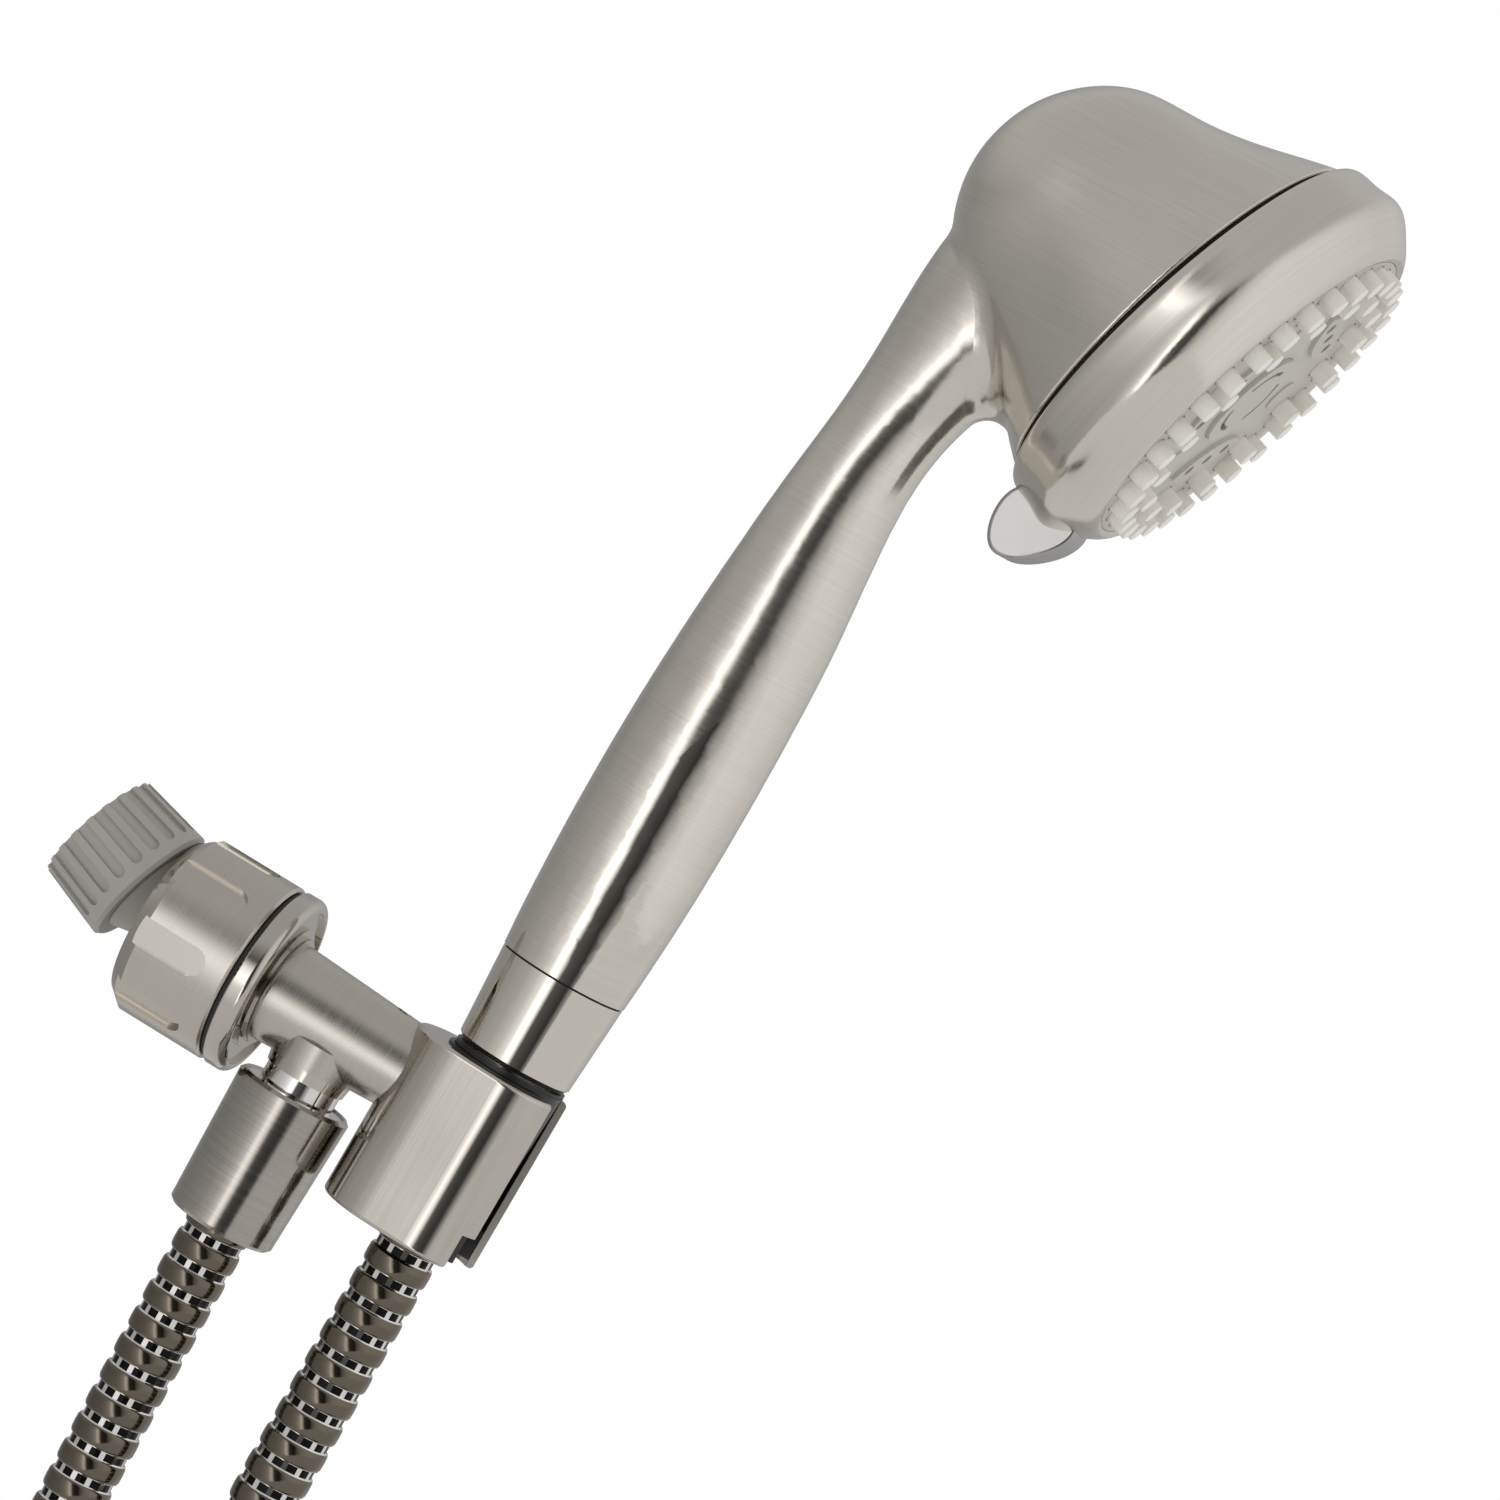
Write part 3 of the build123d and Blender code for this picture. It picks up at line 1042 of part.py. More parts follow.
PARTS = {
    "arm_nut": place(ARM, make_arm_nut()),
    "arm_washer": place(ARM, ring(STEM_FLANGE_D, WASHER_HOLE_D, ARM_WASHER_FOOT, STEM_FLANGE_FOOT)),
    "swivel_ball": place(ARM, make_swivel_ball()),
    "ball_seat": place(BRACKET, make_ball_seat()),
    "ball_seal": place(BRACKET, Pos(0, 0, SEAL_AT) * Torus(SEAL_RING_D / 2, SEAL_WIRE_D / 2)),
    "clamp_nut": place(BRACKET, make_clamp_nut()),
    "clamp_washer": place(
        BRACKET,
        ring(CLAMP_NUT_D - 2 * CLAMP_WASHER_INSET, CLAMP_NUT_BORE_D, CLAMP_NUT_END + SEAT_GAP, FLANGE_BACK),
    ),
    "bracket_body": make_bracket_body(),
    "hose_spigot": place(SPIGOT, make_hose_spigot()),
    "set_screw": place(set_screw_place(), make_set_screw()),
    "cradle_shell": make_cradle_shell(),
    "cradle_liner": place(CRADLE, make_cradle_liner()),
    "hose_nut": place(SPIGOT, make_hose_nut()),
    "outlet_washer": place(
        SPIGOT, ring(INSERT_FLANGE_D, WATERWAY_D, OUTLET_WASHER_FROM, OUTLET_FLANGE_FROM)
    ),
    "outlet_insert": place(SPIGOT, make_outlet_insert()),
    "hose_run_outlet": make_hose_run(
        "outlet", [OUTLET_START, OUTLET_BEND, *OUTLET_ROUTE, coil_point(COIL_START)]
    ),
    "hose_coil": make_hose_coil(),
    "hose_tie": make_hose_tie(),
    "hose_run_handset": make_hose_run(
        "handset", [coil_point(COIL_END), *HANDSET_ROUTE, HANDSET_BEND, HANDSET_END]
    ),
    "handset_insert": place(HANDSET, make_handset_insert()),
    "handset_washer": place(
        HANDSET, ring(INSERT_FLANGE_D, INLET_BORE_D, INLET_WASHER_FOOT, INLET_THREAD_FOOT)
    ),
    "cone_nut": place(HANDSET, make_cone_nut()),
    "cone_sleeve": place(HANDSET, make_cone_sleeve()),
    "seam_ring": place(
        HANDSET,
        ring(CONE_TOP_D - 2 * SEAM_RING_INSET, HOSE_NUT_BORE_D, CONE_TOP, CONE_TOP + SEAM_RING_THICKNESS),
    ),
    "handset_body": make_handset_body(),
    "handle_inlet": place(HANDSET, make_handle_inlet()),
    "inlet_screen": place(HANDSET, make_inlet_screen()),
    "flow_regulator": place(HANDSET, make_flow_regulator()),
    "water_tube": place(HANDSET, make_water_tube()),
    "spray_chassis": place(HEAD, make_spray_chassis()),
    "port_seal": place(HEAD, make_port_seal()),
    "seal_spring": place(HEAD, make_seal_spring()),
    "detent_pin": place(HEAD, make_detent_pin()),
    "detent_spring": place(HEAD, make_detent_spring()),
    "head_gasket": place(
        HEAD, ring(BELL_RIM_D - 2 * GASKET_INSET, BELL_LEDGE_D + 2 * GASKET_LEDGE, 0, GASKET_THICKNESS)
    ),
    "selector_bezel": place(HEAD, make_selector_bezel()),
    "selector_lever": place(HEAD, make_selector_lever()),
    "lever_screw": place(HEAD, make_lever_screw()),
    "spreader": place(HEAD, make_spreader()),
    "nozzle_mat": place(HEAD, make_nozzle_mat()),
    "face_plate": place(HEAD, make_face_plate()),
    "centre_cap": place(HEAD, make_centre_cap()),
    "turbine": place(HEAD, make_turbine()),
    "hub_screw": place(HEAD, make_hub_screw()),
}

os.makedirs("parts", exist_ok=True)
for name, shape in PARTS.items():
    export_step(shape, f"parts/{name}.step")
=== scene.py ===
import json
from math import atan2, cos, pi, radians, sin

import bpy
from bpy.props import FloatProperty, FloatVectorProperty, IntProperty, PointerProperty
from mathutils import Matrix, Vector


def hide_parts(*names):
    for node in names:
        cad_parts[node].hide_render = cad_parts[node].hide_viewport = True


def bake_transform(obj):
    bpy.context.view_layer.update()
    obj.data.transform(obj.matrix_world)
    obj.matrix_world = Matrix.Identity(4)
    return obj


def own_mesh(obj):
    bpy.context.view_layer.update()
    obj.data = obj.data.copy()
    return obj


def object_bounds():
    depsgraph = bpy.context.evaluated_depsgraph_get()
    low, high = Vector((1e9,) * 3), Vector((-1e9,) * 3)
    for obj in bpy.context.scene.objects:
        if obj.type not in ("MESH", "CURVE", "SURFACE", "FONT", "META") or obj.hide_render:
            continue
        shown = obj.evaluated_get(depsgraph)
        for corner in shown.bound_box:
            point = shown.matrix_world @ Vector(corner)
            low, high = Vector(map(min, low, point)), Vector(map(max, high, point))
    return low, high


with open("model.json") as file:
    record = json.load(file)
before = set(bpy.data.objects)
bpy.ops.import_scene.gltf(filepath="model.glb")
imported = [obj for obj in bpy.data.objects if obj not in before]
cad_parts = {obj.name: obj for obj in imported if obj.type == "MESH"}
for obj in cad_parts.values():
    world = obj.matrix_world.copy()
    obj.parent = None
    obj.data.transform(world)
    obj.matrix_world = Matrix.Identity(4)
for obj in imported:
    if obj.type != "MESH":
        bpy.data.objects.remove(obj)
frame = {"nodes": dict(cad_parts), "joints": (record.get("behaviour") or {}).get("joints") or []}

bl_info = {
    "name": "Hand shower set",
    "version": (1, 0, 0),
    "blender": (4, 5, 0),
    "location": "View3D > Sidebar > Shower",
    "description": "Finishes, hose and stage for a hand shower set with an arm bracket",
    "category": "Object",
}

CAD_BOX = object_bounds()
JOINTS = {joint["name"]: joint for joint in frame["joints"]}


def joint_place(name):
    """A point on a joint's axis and the axis itself."""
    joint = JOINTS[name]
    return Vector(joint["pos_m"]), Vector(joint["axis"])


BRACKET_POINT, BRACKET_AXIS = joint_place("bracket_turn")
SPIGOT_POINT, SPIGOT_AXIS = joint_place("hose_nut_turn")
HANDSET_POINT, HANDSET_AXIS = joint_place("handset_turn")
HEAD_POINT, HEAD_AXIS = joint_place("selector_turn")

# Route of the hose, in metres, and its coil below the set
OUTLET_START = 0.0396
OUTLET_BEND = 0.1176
OUTLET_ROUTE = ((-0.0307, -0.0070, -0.1877), (-0.0440, -0.0166, -0.2423))
OUTLET_LEAN = 0.0016
HANDSET_ROUTE = ((0.0400, 0.0170, -0.2191), (0.0203, 0.0080, -0.1820))
HANDSET_LEAN = 0.0008
HANDSET_BEND = -0.0985
HANDSET_STRAIGHT = -0.0545
HANDSET_END = -0.0086
COIL_MIDDLE = Vector((0.0181, 0.0, -0.2882))
COIL_R = 0.066
COIL_START = 174.0
COIL_END = 1128.0
COIL_PITCH = 0.013
COIL_STEP = 30.0
ROUTE_STEPS = 24

# Rounded edge of a band of the hose: metres in from the groove, and share of the rise reached there
BAND_SHOULDER = ((0.0002, 0.62), (0.0007, 0.92))
MERGE_GAP = 0.00002

# Faces of a band: those of the groove lie within this share of its radius; some of them are painted bright
# as painted reflections of the strip lights, the rest painted black as painted shade
GROOVE_SHARE = 1.01
# One groove face in this many is painted bright, a painted reflection
PAINTED_GLINT_EVERY = 3
STEEP = 0.7
BAND_UV_PER_METRE = 100
# Material slots of a band: the satin crown, the bright painted reflections and the black painted shade
SATIN, PAINTED_GLINT, PAINTED_SHADE = range(3)

# Ends of the hose: where it meets the handset and where it leaves the outlet
LIFT_END = HANDSET_POINT + HANDSET_AXIS * HANDSET_END
HOSE_START = SPIGOT_POINT + SPIGOT_AXIS * OUTLET_START

# Places of the polished parts of the bracket, in metres along its own axis and along the spigot's
FLANGE_FROM = 0.0139
FLANGE_TO = 0.0186
SADDLE_FROM = 0.0088
SADDLE_R = 0.0096
SADDLE_FADE = 0.0006
SADDLE_EDGE = 0.0003

# Width over which most masks fade, in metres
EDGE = 0.0002

# Density of the brush strokes on three axes, the last one along the piece: round the piece, then lengthwise
AROUND = (30.0, 30.0, 9000.0)
COARSE = (40.0, 40.0, 2800.0)
ALONG = (4000.0, 4000.0, 25.0)
LENGTHWISE = (1400.0, 1400.0, 20.0)
POLISHED_ROUGHNESS = 0.07

# Strokes of brushed metal: what they and the clouds do to the roughness, their share of the colour and bump
STROKE_ROUGHNESS = 0.10
CLOUD_ROUGHNESS = 0.05
STROKE_SHARE = 0.6
STROKE_BUMP = 0.035
STROKE_DEPTH = 0.00005
METAL_CLOUD = 60.0

# Marks on polished metal: their density and how much they change the roughness and the colour
MARK_DENSITY = 220.0
MARK_ROUGHNESS = 0.06
MARK_SHADES = (0.96, 1.03)
# The lever takes the polished plating darkened, painted shade that tones down its bright reflection
LEVER_PAINTED_SHADE = 0.5
LEVER_ROUGHNESS = 0.2

# Grain of moulded pieces: its share of the colour, what it does to the roughness, its bump and its shades
GRAIN_SHARE = 0.3
GRAIN_ROUGHNESS = 0.12
GRAIN_BUMP = 0.12
GRAIN_DEPTH = 0.00004
GRAIN_SHADES = (0.93, 1.05)
MOULD_CLOUD = 70.0

# Strokes on the hose's bands, as density along and round the hose, shades, roughness and bump
BAND_STROKES = (90.0, 6.0, 1.0)
BAND_SHADES = (0.85, 1.12)
BAND_ROUGHNESS = 0.10
BAND_BUMP = 0.08

# Faces of the cradle's slot, in metres forward of the handle's axis and to its sides
SLOT_FROM = 0.009
SLOT_HALF = 0.0068
SLOT_FADE = 0.0004
SLOT_ROUGHNESS = 0.5
SLOT_METAL = 0.2

# Width of the bell's polished edge, and the radius under which the clamp nut's recesses lie
RIM_WIDTH = 0.0008
RIM_FADE = 0.0001
RECESS_R = 0.0173

# Light tent round the set: brightness of its cloth at angles to the right of the camera, and of its top
TENT_R = 2.4
TENT_SEGMENTS = 48
TENT_RINGS = 24
TENT_STRENGTH = 2.3
TENT_TOP = 0.78
TENT_PLAIN = 0.72
TENT_STRIPS = (
    (-180, 0.34), (-130, 0.34), (-90, 0.42), (-60, 0.52), (-42, 0.74), (-30, 1.15),
    (-24, 2.30), (-18, 1.50), (-13, 0.12), (6, 0.04), (15, 0.42), (31, 0.78),
    (50, 0.94), (90, 0.88), (140, 0.70), (180, 0.34),
)

# Heights, as shares of the tent's radius, over which its strips turn plain and its cloth turns greyer
STRIPS_FADE = (0.35, 0.8)
TOP_FADE = (0.2, 0.85)

# Pale floor, in metres, its brightness and its glow
FLOOR_SIZE = 1.2
FLOOR_BELOW = 0.02
FLOOR_SHADE = 0.9
FLOOR_ROUGHNESS = 0.9
FLOOR_GLOW = 0.2
WHITE = (1, 1, 1, 1)

# Camera's sensor in millimetres and the nearest distance that it sees in metres
SENSOR = 36.0
CLIP_START = 0.01


class CameraSettings(bpy.types.PropertyGroup):
    """Where the camera stands."""

    azimuth: FloatProperty(
        name="Azimuth", description="Camera's turn to the right of the front", default=9.852
    )
    elevation: FloatProperty(name="Elevation", description="Camera's height angle", default=-2.196)
    distance: FloatProperty(
        name="Distance", description="From the camera to the middle", default=1.099, unit="LENGTH"
    )
    target: FloatVectorProperty(
        name="Target", description="Middle of the picture", default=(0.12116, 0.0, 0.01498), subtype="XYZ"
    )
    lens: FloatProperty(name="Lens", description="Focal length in millimetres", default=146.14)
    roll: FloatProperty(name="Roll", description="Turn about the view axis in degrees", default=0.751)


class HoseSettings(bpy.types.PropertyGroup):
    """Bands of the metal hose."""

    diameter: FloatProperty(name="Diameter", description="Over the bands", default=0.0127, unit="LENGTH")
    groove_diameter: FloatProperty(
        name="Groove", description="In the grooves", default=0.0113, unit="LENGTH"
    )
    pitch: FloatProperty(name="Pitch", description="From band to band", default=0.0055, unit="LENGTH")
    groove_width: FloatProperty(
        name="Groove width", description="Between two bands", default=0.0015, unit="LENGTH"
    )
    sides: IntProperty(name="Sides", description="Faces round the hose", default=36)


class FinishSettings(bpy.types.PropertyGroup):
    """Colours of the finishes."""

    nickel: FloatVectorProperty(
        name="Nickel", description="Brushed plating", default=(0.655, 0.62, 0.56), subtype="COLOR"
    )
    dark_nickel: FloatVectorProperty(
        name="Dark nickel",
        description="Plating of the hose nut",
        default=(0.40, 0.375, 0.34),
        subtype="COLOR",
    )
    # The bracket's plating is a darker copy of the nickel: painted shade on the bracket, its clamp nut and
    # the cradle
    bracket: FloatVectorProperty(
        name="Bracket", description="Plating of the bracket", default=(0.52, 0.49, 0.44), subtype="COLOR"
    )
    polished: FloatVectorProperty(
        name="Polished", description="Polished plating", default=(0.78, 0.76, 0.735), subtype="COLOR"
    )
    bronze: FloatVectorProperty(
        name="Hose", description="Bands of the hose", default=(0.155, 0.135, 0.105), subtype="COLOR"
    )
    grey: FloatVectorProperty(
        name="Grey", description="Grey plastic", default=(0.44, 0.42, 0.385), subtype="COLOR"
    )
    face: FloatVectorProperty(
        name="Face", description="Spray face", default=(0.57, 0.55, 0.495), subtype="COLOR"
    )
    nozzle: FloatVectorProperty(
        name="Nozzle", description="Spray nozzles", default=(0.95, 0.925, 0.86), subtype="COLOR"
    )
    black: FloatVectorProperty(
        name="Black", description="Black plastic", default=(0.012, 0.012, 0.012), subtype="COLOR"
    )
    rubber: FloatVectorProperty(
        name="Rubber", description="Seals", default=(0.02, 0.02, 0.02), subtype="COLOR"
    )
    white: FloatVectorProperty(
        name="White", description="Inner plastic", default=(0.75, 0.75, 0.73), subtype="COLOR"
    )
    brass: FloatVectorProperty(
        name="Brass", description="Turned brass", default=(0.62, 0.46, 0.22), subtype="COLOR"
    )
    steel: FloatVectorProperty(
        name="Steel", description="Screws and springs", default=(0.55, 0.55, 0.54), subtype="COLOR"
    )


class Value:
    """A shader socket that can be used in expressions."""

    def __init__(self, finish, socket):
        self.finish = finish
        self.socket = socket

    def math(self, operation, first, second):
        return self.finish.node("ShaderNodeMath", {"operation": operation}, {0: first, 1: second})

    def __add__(self, other):
        return self.math("ADD", self, other)

    def __sub__(self, other):
        return self.math("SUBTRACT", self, other)

    def __rsub__(self, other):
        return self.math("SUBTRACT", other, self)

    def __mul__(self, other):
        return self.math("MULTIPLY", self, other)

    __radd__ = __add__
    __rmul__ = __mul__


class Finish:
    """A material with one Principled shader and the nodes that feed it."""

    def __init__(self, name):
        self.material = bpy.data.materials.new(name)
        self.material.use_nodes = True
        self.tree = self.material.node_tree
        self.shader = self.tree.nodes["Principled BSDF"]

    def node(self, kind, settings, inputs, output=0):
        """A new node with its settings and inputs, as the value of one of its outputs."""
        node = self.tree.nodes.new(kind)
        for name, value in settings.items():
            setattr(node, name, value)
        for name, value in inputs.items():
            self.plug(node.inputs[name], value)
        return Value(self, node.outputs[output])

    def plug(self, socket, value):
        """Links a value to a socket, or sets a plain number or colour on it."""
        if isinstance(value, Value):
            self.tree.links.new(value.socket, socket)
        else:
            socket.default_value = value

    def set(self, **inputs):
        """Sets the shader's inputs, with underscores for spaces."""
        for name, value in inputs.items():
            self.plug(self.shader.inputs[name.replace("_", " ")], value)

    def place(self, point, axis):
        """Object coordinates about a point, with Z along an axis."""
        turn = axis.to_track_quat("Z", "X").to_euler()
        coords = self.node("ShaderNodeTexCoord", {}, {}, "Object")
        return self.node(
            "ShaderNodeMapping",
            {"vector_type": "TEXTURE"},
            {"Vector": coords, "Location": point, "Rotation": turn},
        )

    def stretched(self, vector, scale):
        """A vector scaled on each axis."""
        return self.node("ShaderNodeVectorMath", {"operation": "MULTIPLY"}, {0: vector, 1: scale})

    def noise(self, vector, scale, detail=2.0):
        """Noise from 0 to 1."""
        inputs = {"Vector": vector, "Scale": scale, "Detail": detail}
        return self.node("ShaderNodeTexNoise", {}, inputs, "Fac")

    def mix(self, factor, first, second):
        """A colour between two colours."""
        return self.node(
            "ShaderNodeMix",
            {"data_type": "RGBA"},
            {"Factor": factor, 6: (*first, 1.0), 7: (*second, 1.0)},
            2,
        )

    def ramp(self, value, stops):
        """A grey that runs through stops of place and brightness."""
        node = self.tree.nodes.new("ShaderNodeValToRGB")
        elements = node.color_ramp.elements
        while len(elements) < len(stops):
            elements.new(0.5)
        for element, (place, level) in zip(elements, stops):
            element.position = place
            element.color = (level, level, level, 1.0)
        self.plug(node.inputs["Fac"], value)
        return Value(self, node.outputs["Color"])

    def part(self, vector, axis):
        """One part of a vector: X, Y or Z."""
        return self.node("ShaderNodeSeparateXYZ", {}, {"Vector": vector}, axis)

    def step(self, value, low, high):
        """A soft step from 0 at the low value to 1 at the high one."""
        return self.node(
            "ShaderNodeMapRange",
            {"interpolation_type": "SMOOTHSTEP"},
            {"Value": value, "From Min": low, "From Max": high},
        )

    def bump(self, height, strength, distance):
        """A normal that follows a height."""
        return self.node(
            "ShaderNodeBump", {}, {"Height": height, "Strength": strength, "Distance": distance}, "Normal"
        )


def shade(colour, factor):
    """A colour made darker or lighter."""
    return tuple(min(1.0, c * factor) for c in colour)


def brushed(name, colour, point, axis, stroke, roughness, contrast=0.07, patch=None):
    """Plated metal with fine strokes; a patch is a mask, its roughness and how metallic it is."""
    finish = Finish(name)
    local = finish.place(point, axis)
    strokes = finish.noise(finish.stretched(local, stroke), 1.0, detail=3.0)
    cloud = finish.noise(local, METAL_CLOUD)
    satin = (strokes - 0.5) * STROKE_ROUGHNESS + (cloud - 0.5) * CLOUD_ROUGHNESS + roughness
    metal = 1.0
    if patch:
        place, own_roughness, own_metal = patch
        mask = place(finish)
        satin = satin * (1 - mask) + mask * own_roughness
        metal = 1 - mask * (1 - own_metal)
    tone = strokes * STROKE_SHARE + cloud * (1 - STROKE_SHARE)
    finish.set(
        Base_Color=finish.mix(tone, shade(colour, 1 - contrast), shade(colour, 1 + contrast)),
        Metallic=metal,
        Roughness=satin,
        Normal=finish.bump(strokes, STROKE_BUMP, STROKE_DEPTH),
    )
    return finish.material


def reach_from(finish, local):
    """Distance of local coordinates from their Z axis."""
    flat = finish.stretched(local, (1, 1, 0))
    return finish.node("ShaderNodeVectorMath", {"operation": "LENGTH"}, {0: flat}, "Value")


def bracket_shine(finish):
    """Polished parts of the bracket: its flange and the saddle round the hose outlet."""
    along = finish.part(finish.place(BRACKET_POINT, BRACKET_AXIS), "Z")
    past_start = finish.step(along, FLANGE_FROM, FLANGE_FROM + EDGE)
    past_end = finish.step(along, FLANGE_TO, FLANGE_TO + EDGE)
    local = finish.place(SPIGOT_POINT, SPIGOT_AXIS)
    below = finish.step(finish.part(local, "Z"), SADDLE_FROM, SADDLE_FROM + SADDLE_FADE)
    beyond = finish.step(reach_from(finish, local), SADDLE_R, SADDLE_R + SADDLE_EDGE)
    return past_start - past_end + below * (1 - beyond)


def grip_recess(finish):
    """The floors of the clamp nut's long recesses."""
    reach = reach_from(finish, finish.place(BRACKET_POINT, BRACKET_AXIS))
    return 1 - finish.step(reach, RECESS_R, RECESS_R + EDGE)


def bell_rim(finish):
    """The polished edge of the bell along the black seam."""
    along = finish.part(finish.place(HEAD_POINT, HEAD_AXIS), "Z")
    return finish.step(along, -RIM_WIDTH, -RIM_WIDTH + RIM_FADE)


def cradle_slot(finish):
    """The two faces of the cradle's slot."""
    forward = finish.part(finish.place(HANDSET_POINT, BRACKET_AXIS), "Z")
    side = finish.part(finish.place(HANDSET_POINT, HANDSET_AXIS), "Y")
    off = side.math("ABSOLUTE", side, 0.0)
    beside = finish.step(off, SLOT_HALF, SLOT_HALF + EDGE)
    return finish.step(forward, SLOT_FROM, SLOT_FROM + SLOT_FADE) * (1 - beside)


def polished(name, colour, roughness):
    """Bright plating with a trace of handling marks."""
    finish = Finish(name)
    coords = finish.node("ShaderNodeTexCoord", {}, {}, "Object")
    marks = finish.noise(coords, MARK_DENSITY, detail=4.0)
    finish.set(
        Base_Color=finish.mix(marks, *(shade(colour, level) for level in MARK_SHADES)),
        Metallic=1.0,
        Roughness=(marks - 0.5) * MARK_ROUGHNESS + roughness,
    )
    return finish.material


def moulded(name, colour, roughness, grain):
    """Plastic or rubber with a moulded grain."""
    finish = Finish(name)
    coords = finish.node("ShaderNodeTexCoord", {}, {}, "Object")
    fine = finish.noise(coords, grain, detail=3.0)
    cloud = finish.noise(coords, MOULD_CLOUD)
    tone = cloud * (1 - GRAIN_SHARE) + fine * GRAIN_SHARE
    finish.set(
        Base_Color=finish.mix(tone, *(shade(colour, level) for level in GRAIN_SHADES)),
        Metallic=0.0,
        Roughness=(fine - 0.5) * GRAIN_ROUGHNESS + roughness,
        Normal=finish.bump(fine, GRAIN_BUMP, GRAIN_DEPTH),
    )
    return finish.material


def banded(name, colour, roughness):
    """Metal of the hose, with strokes that run round it."""
    finish = Finish(name)
    coords = finish.node("ShaderNodeUVMap", {"uv_map": "bands"}, {}, "UV")
    strokes = finish.noise(finish.stretched(coords, BAND_STROKES), 1.0, detail=3.0)
    finish.set(
        Base_Color=finish.mix(strokes, *(shade(colour, level) for level in BAND_SHADES)),
        Metallic=1.0,
        Roughness=(strokes - 0.5) * BAND_ROUGHNESS + roughness,
        Normal=finish.bump(strokes, BAND_BUMP, STROKE_DEPTH),
    )
    return finish.material


def dress(material, *nodes):
    """Gives CAD pieces a material."""
    for name in nodes:
        mesh = frame["nodes"][name].data
        mesh.materials.clear()
        mesh.materials.append(material)


class SHOWER_OT_bracket(bpy.types.Operator):
    """Finishes the arm nut, the ball clamp, the bracket and the cradle"""

    bl_idname = "shower.bracket"
    bl_label = "Finish the bracket"

    def execute(self, context):
        colours = context.scene.shower_finish
        arm_plastic = moulded("arm_grey_plastic", colours.grey, roughness=0.42, grain=2600.0)
        # The bracket, clamp nut and cradle take the darker bracket colour, which is painted shade
        bracket_nickel = brushed(
            "bracket_nickel", colours.bracket, BRACKET_POINT, BRACKET_AXIS, COARSE,
            roughness=0.27, contrast=0.12, patch=(bracket_shine, POLISHED_ROUGHNESS, 1.0),
        )
        clamp_nickel = brushed(
            "clamp_nickel", colours.bracket, BRACKET_POINT, BRACKET_AXIS, COARSE,
            roughness=0.26, contrast=0.1, patch=(grip_recess, POLISHED_ROUGHNESS, 1.0),
        )
        cradle_nickel = brushed(
            "cradle_nickel", colours.bracket, HANDSET_POINT, HANDSET_AXIS, LENGTHWISE,
            roughness=0.12, contrast=0.24, patch=(cradle_slot, SLOT_ROUGHNESS, SLOT_METAL),
        )
        spigot_polish = polished("spigot_polished", colours.polished, POLISHED_ROUGHNESS)
        black_plastic = moulded("liner_black_plastic", colours.black, roughness=0.38, grain=2400.0)
        black_rubber = moulded("seal_black_rubber", colours.rubber, roughness=0.62, grain=3200.0)
        steel = brushed(
            "screw_steel", colours.steel, BRACKET_POINT, BRACKET_AXIS, ALONG, roughness=0.22
        )
        dress(arm_plastic, "arm_nut", "swivel_ball")
        dress(bracket_nickel, "bracket_body")
        dress(clamp_nickel, "clamp_nut")
        dress(cradle_nickel, "cradle_shell")
        dress(spigot_polish, "hose_spigot")
        dress(black_plastic, "cradle_liner", "hose_tie")
        dress(
            black_rubber, "arm_washer", "ball_seal", "clamp_washer", "outlet_washer",
            "handset_washer", "seam_ring", "head_gasket", "port_seal",
        )
        dress(steel, "set_screw")
        return {"FINISHED"}


class SHOWER_OT_handset(bpy.types.Operator):
    """Finishes the handle, the bell, the cone nut and the inner parts of the handset"""

    bl_idname = "shower.handset"
    bl_label = "Finish the handset"

    def execute(self, context):
        colours = context.scene.shower_finish
        handle_nickel = brushed(
            "handle_nickel", colours.nickel, HANDSET_POINT, HANDSET_AXIS, COARSE,
            roughness=0.17, contrast=0.14, patch=(bell_rim, POLISHED_ROUGHNESS, 1.0),
        )
        cone_nickel = brushed(
            "cone_nickel", colours.nickel, HANDSET_POINT, HANDSET_AXIS, AROUND, roughness=0.06
        )
        nut_nickel = brushed(
            "nut_nickel", colours.dark_nickel, SPIGOT_POINT, SPIGOT_AXIS, COARSE,
            roughness=0.14, contrast=0.32,
        )
        black_plastic = moulded("sleeve_black_plastic", colours.black, roughness=0.34, grain=2200.0)
        brass = brushed(
            "inlet_brass", colours.brass, HANDSET_POINT, HANDSET_AXIS, AROUND, roughness=0.3
        )
        white_plastic = moulded("inner_white_plastic", colours.white, roughness=0.4, grain=1800.0)
        steel = brushed("inner_steel", colours.steel, HEAD_POINT, HEAD_AXIS, AROUND, roughness=0.25)
        dress(handle_nickel, "handset_body")
        dress(cone_nickel, "cone_nut")
        dress(nut_nickel, "hose_nut")
        dress(black_plastic, "cone_sleeve")
        dress(brass, "handle_inlet", "handset_insert", "outlet_insert")
        dress(
            white_plastic, "ball_seat", "flow_regulator", "water_tube", "spray_chassis",
            "spreader", "turbine",
        )
        dress(
            steel, "inlet_screen", "seal_spring", "detent_pin", "detent_spring",
            "lever_screw", "hub_screw",
        )
        self.close_spring(frame["nodes"]["detent_spring"], JOINTS["detent_click"])
        return {"FINISHED"}

    def close_spring(self, spring, joint):
        """Gives the detent's spring a mesh of its own; its points are sorted along the head's axis but not
        moved.
        """
        ends = sorted((vertex.co for vertex in spring.data.vertices), key=HEAD_AXIS.dot)
        ends[0].copy()
        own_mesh(spring)


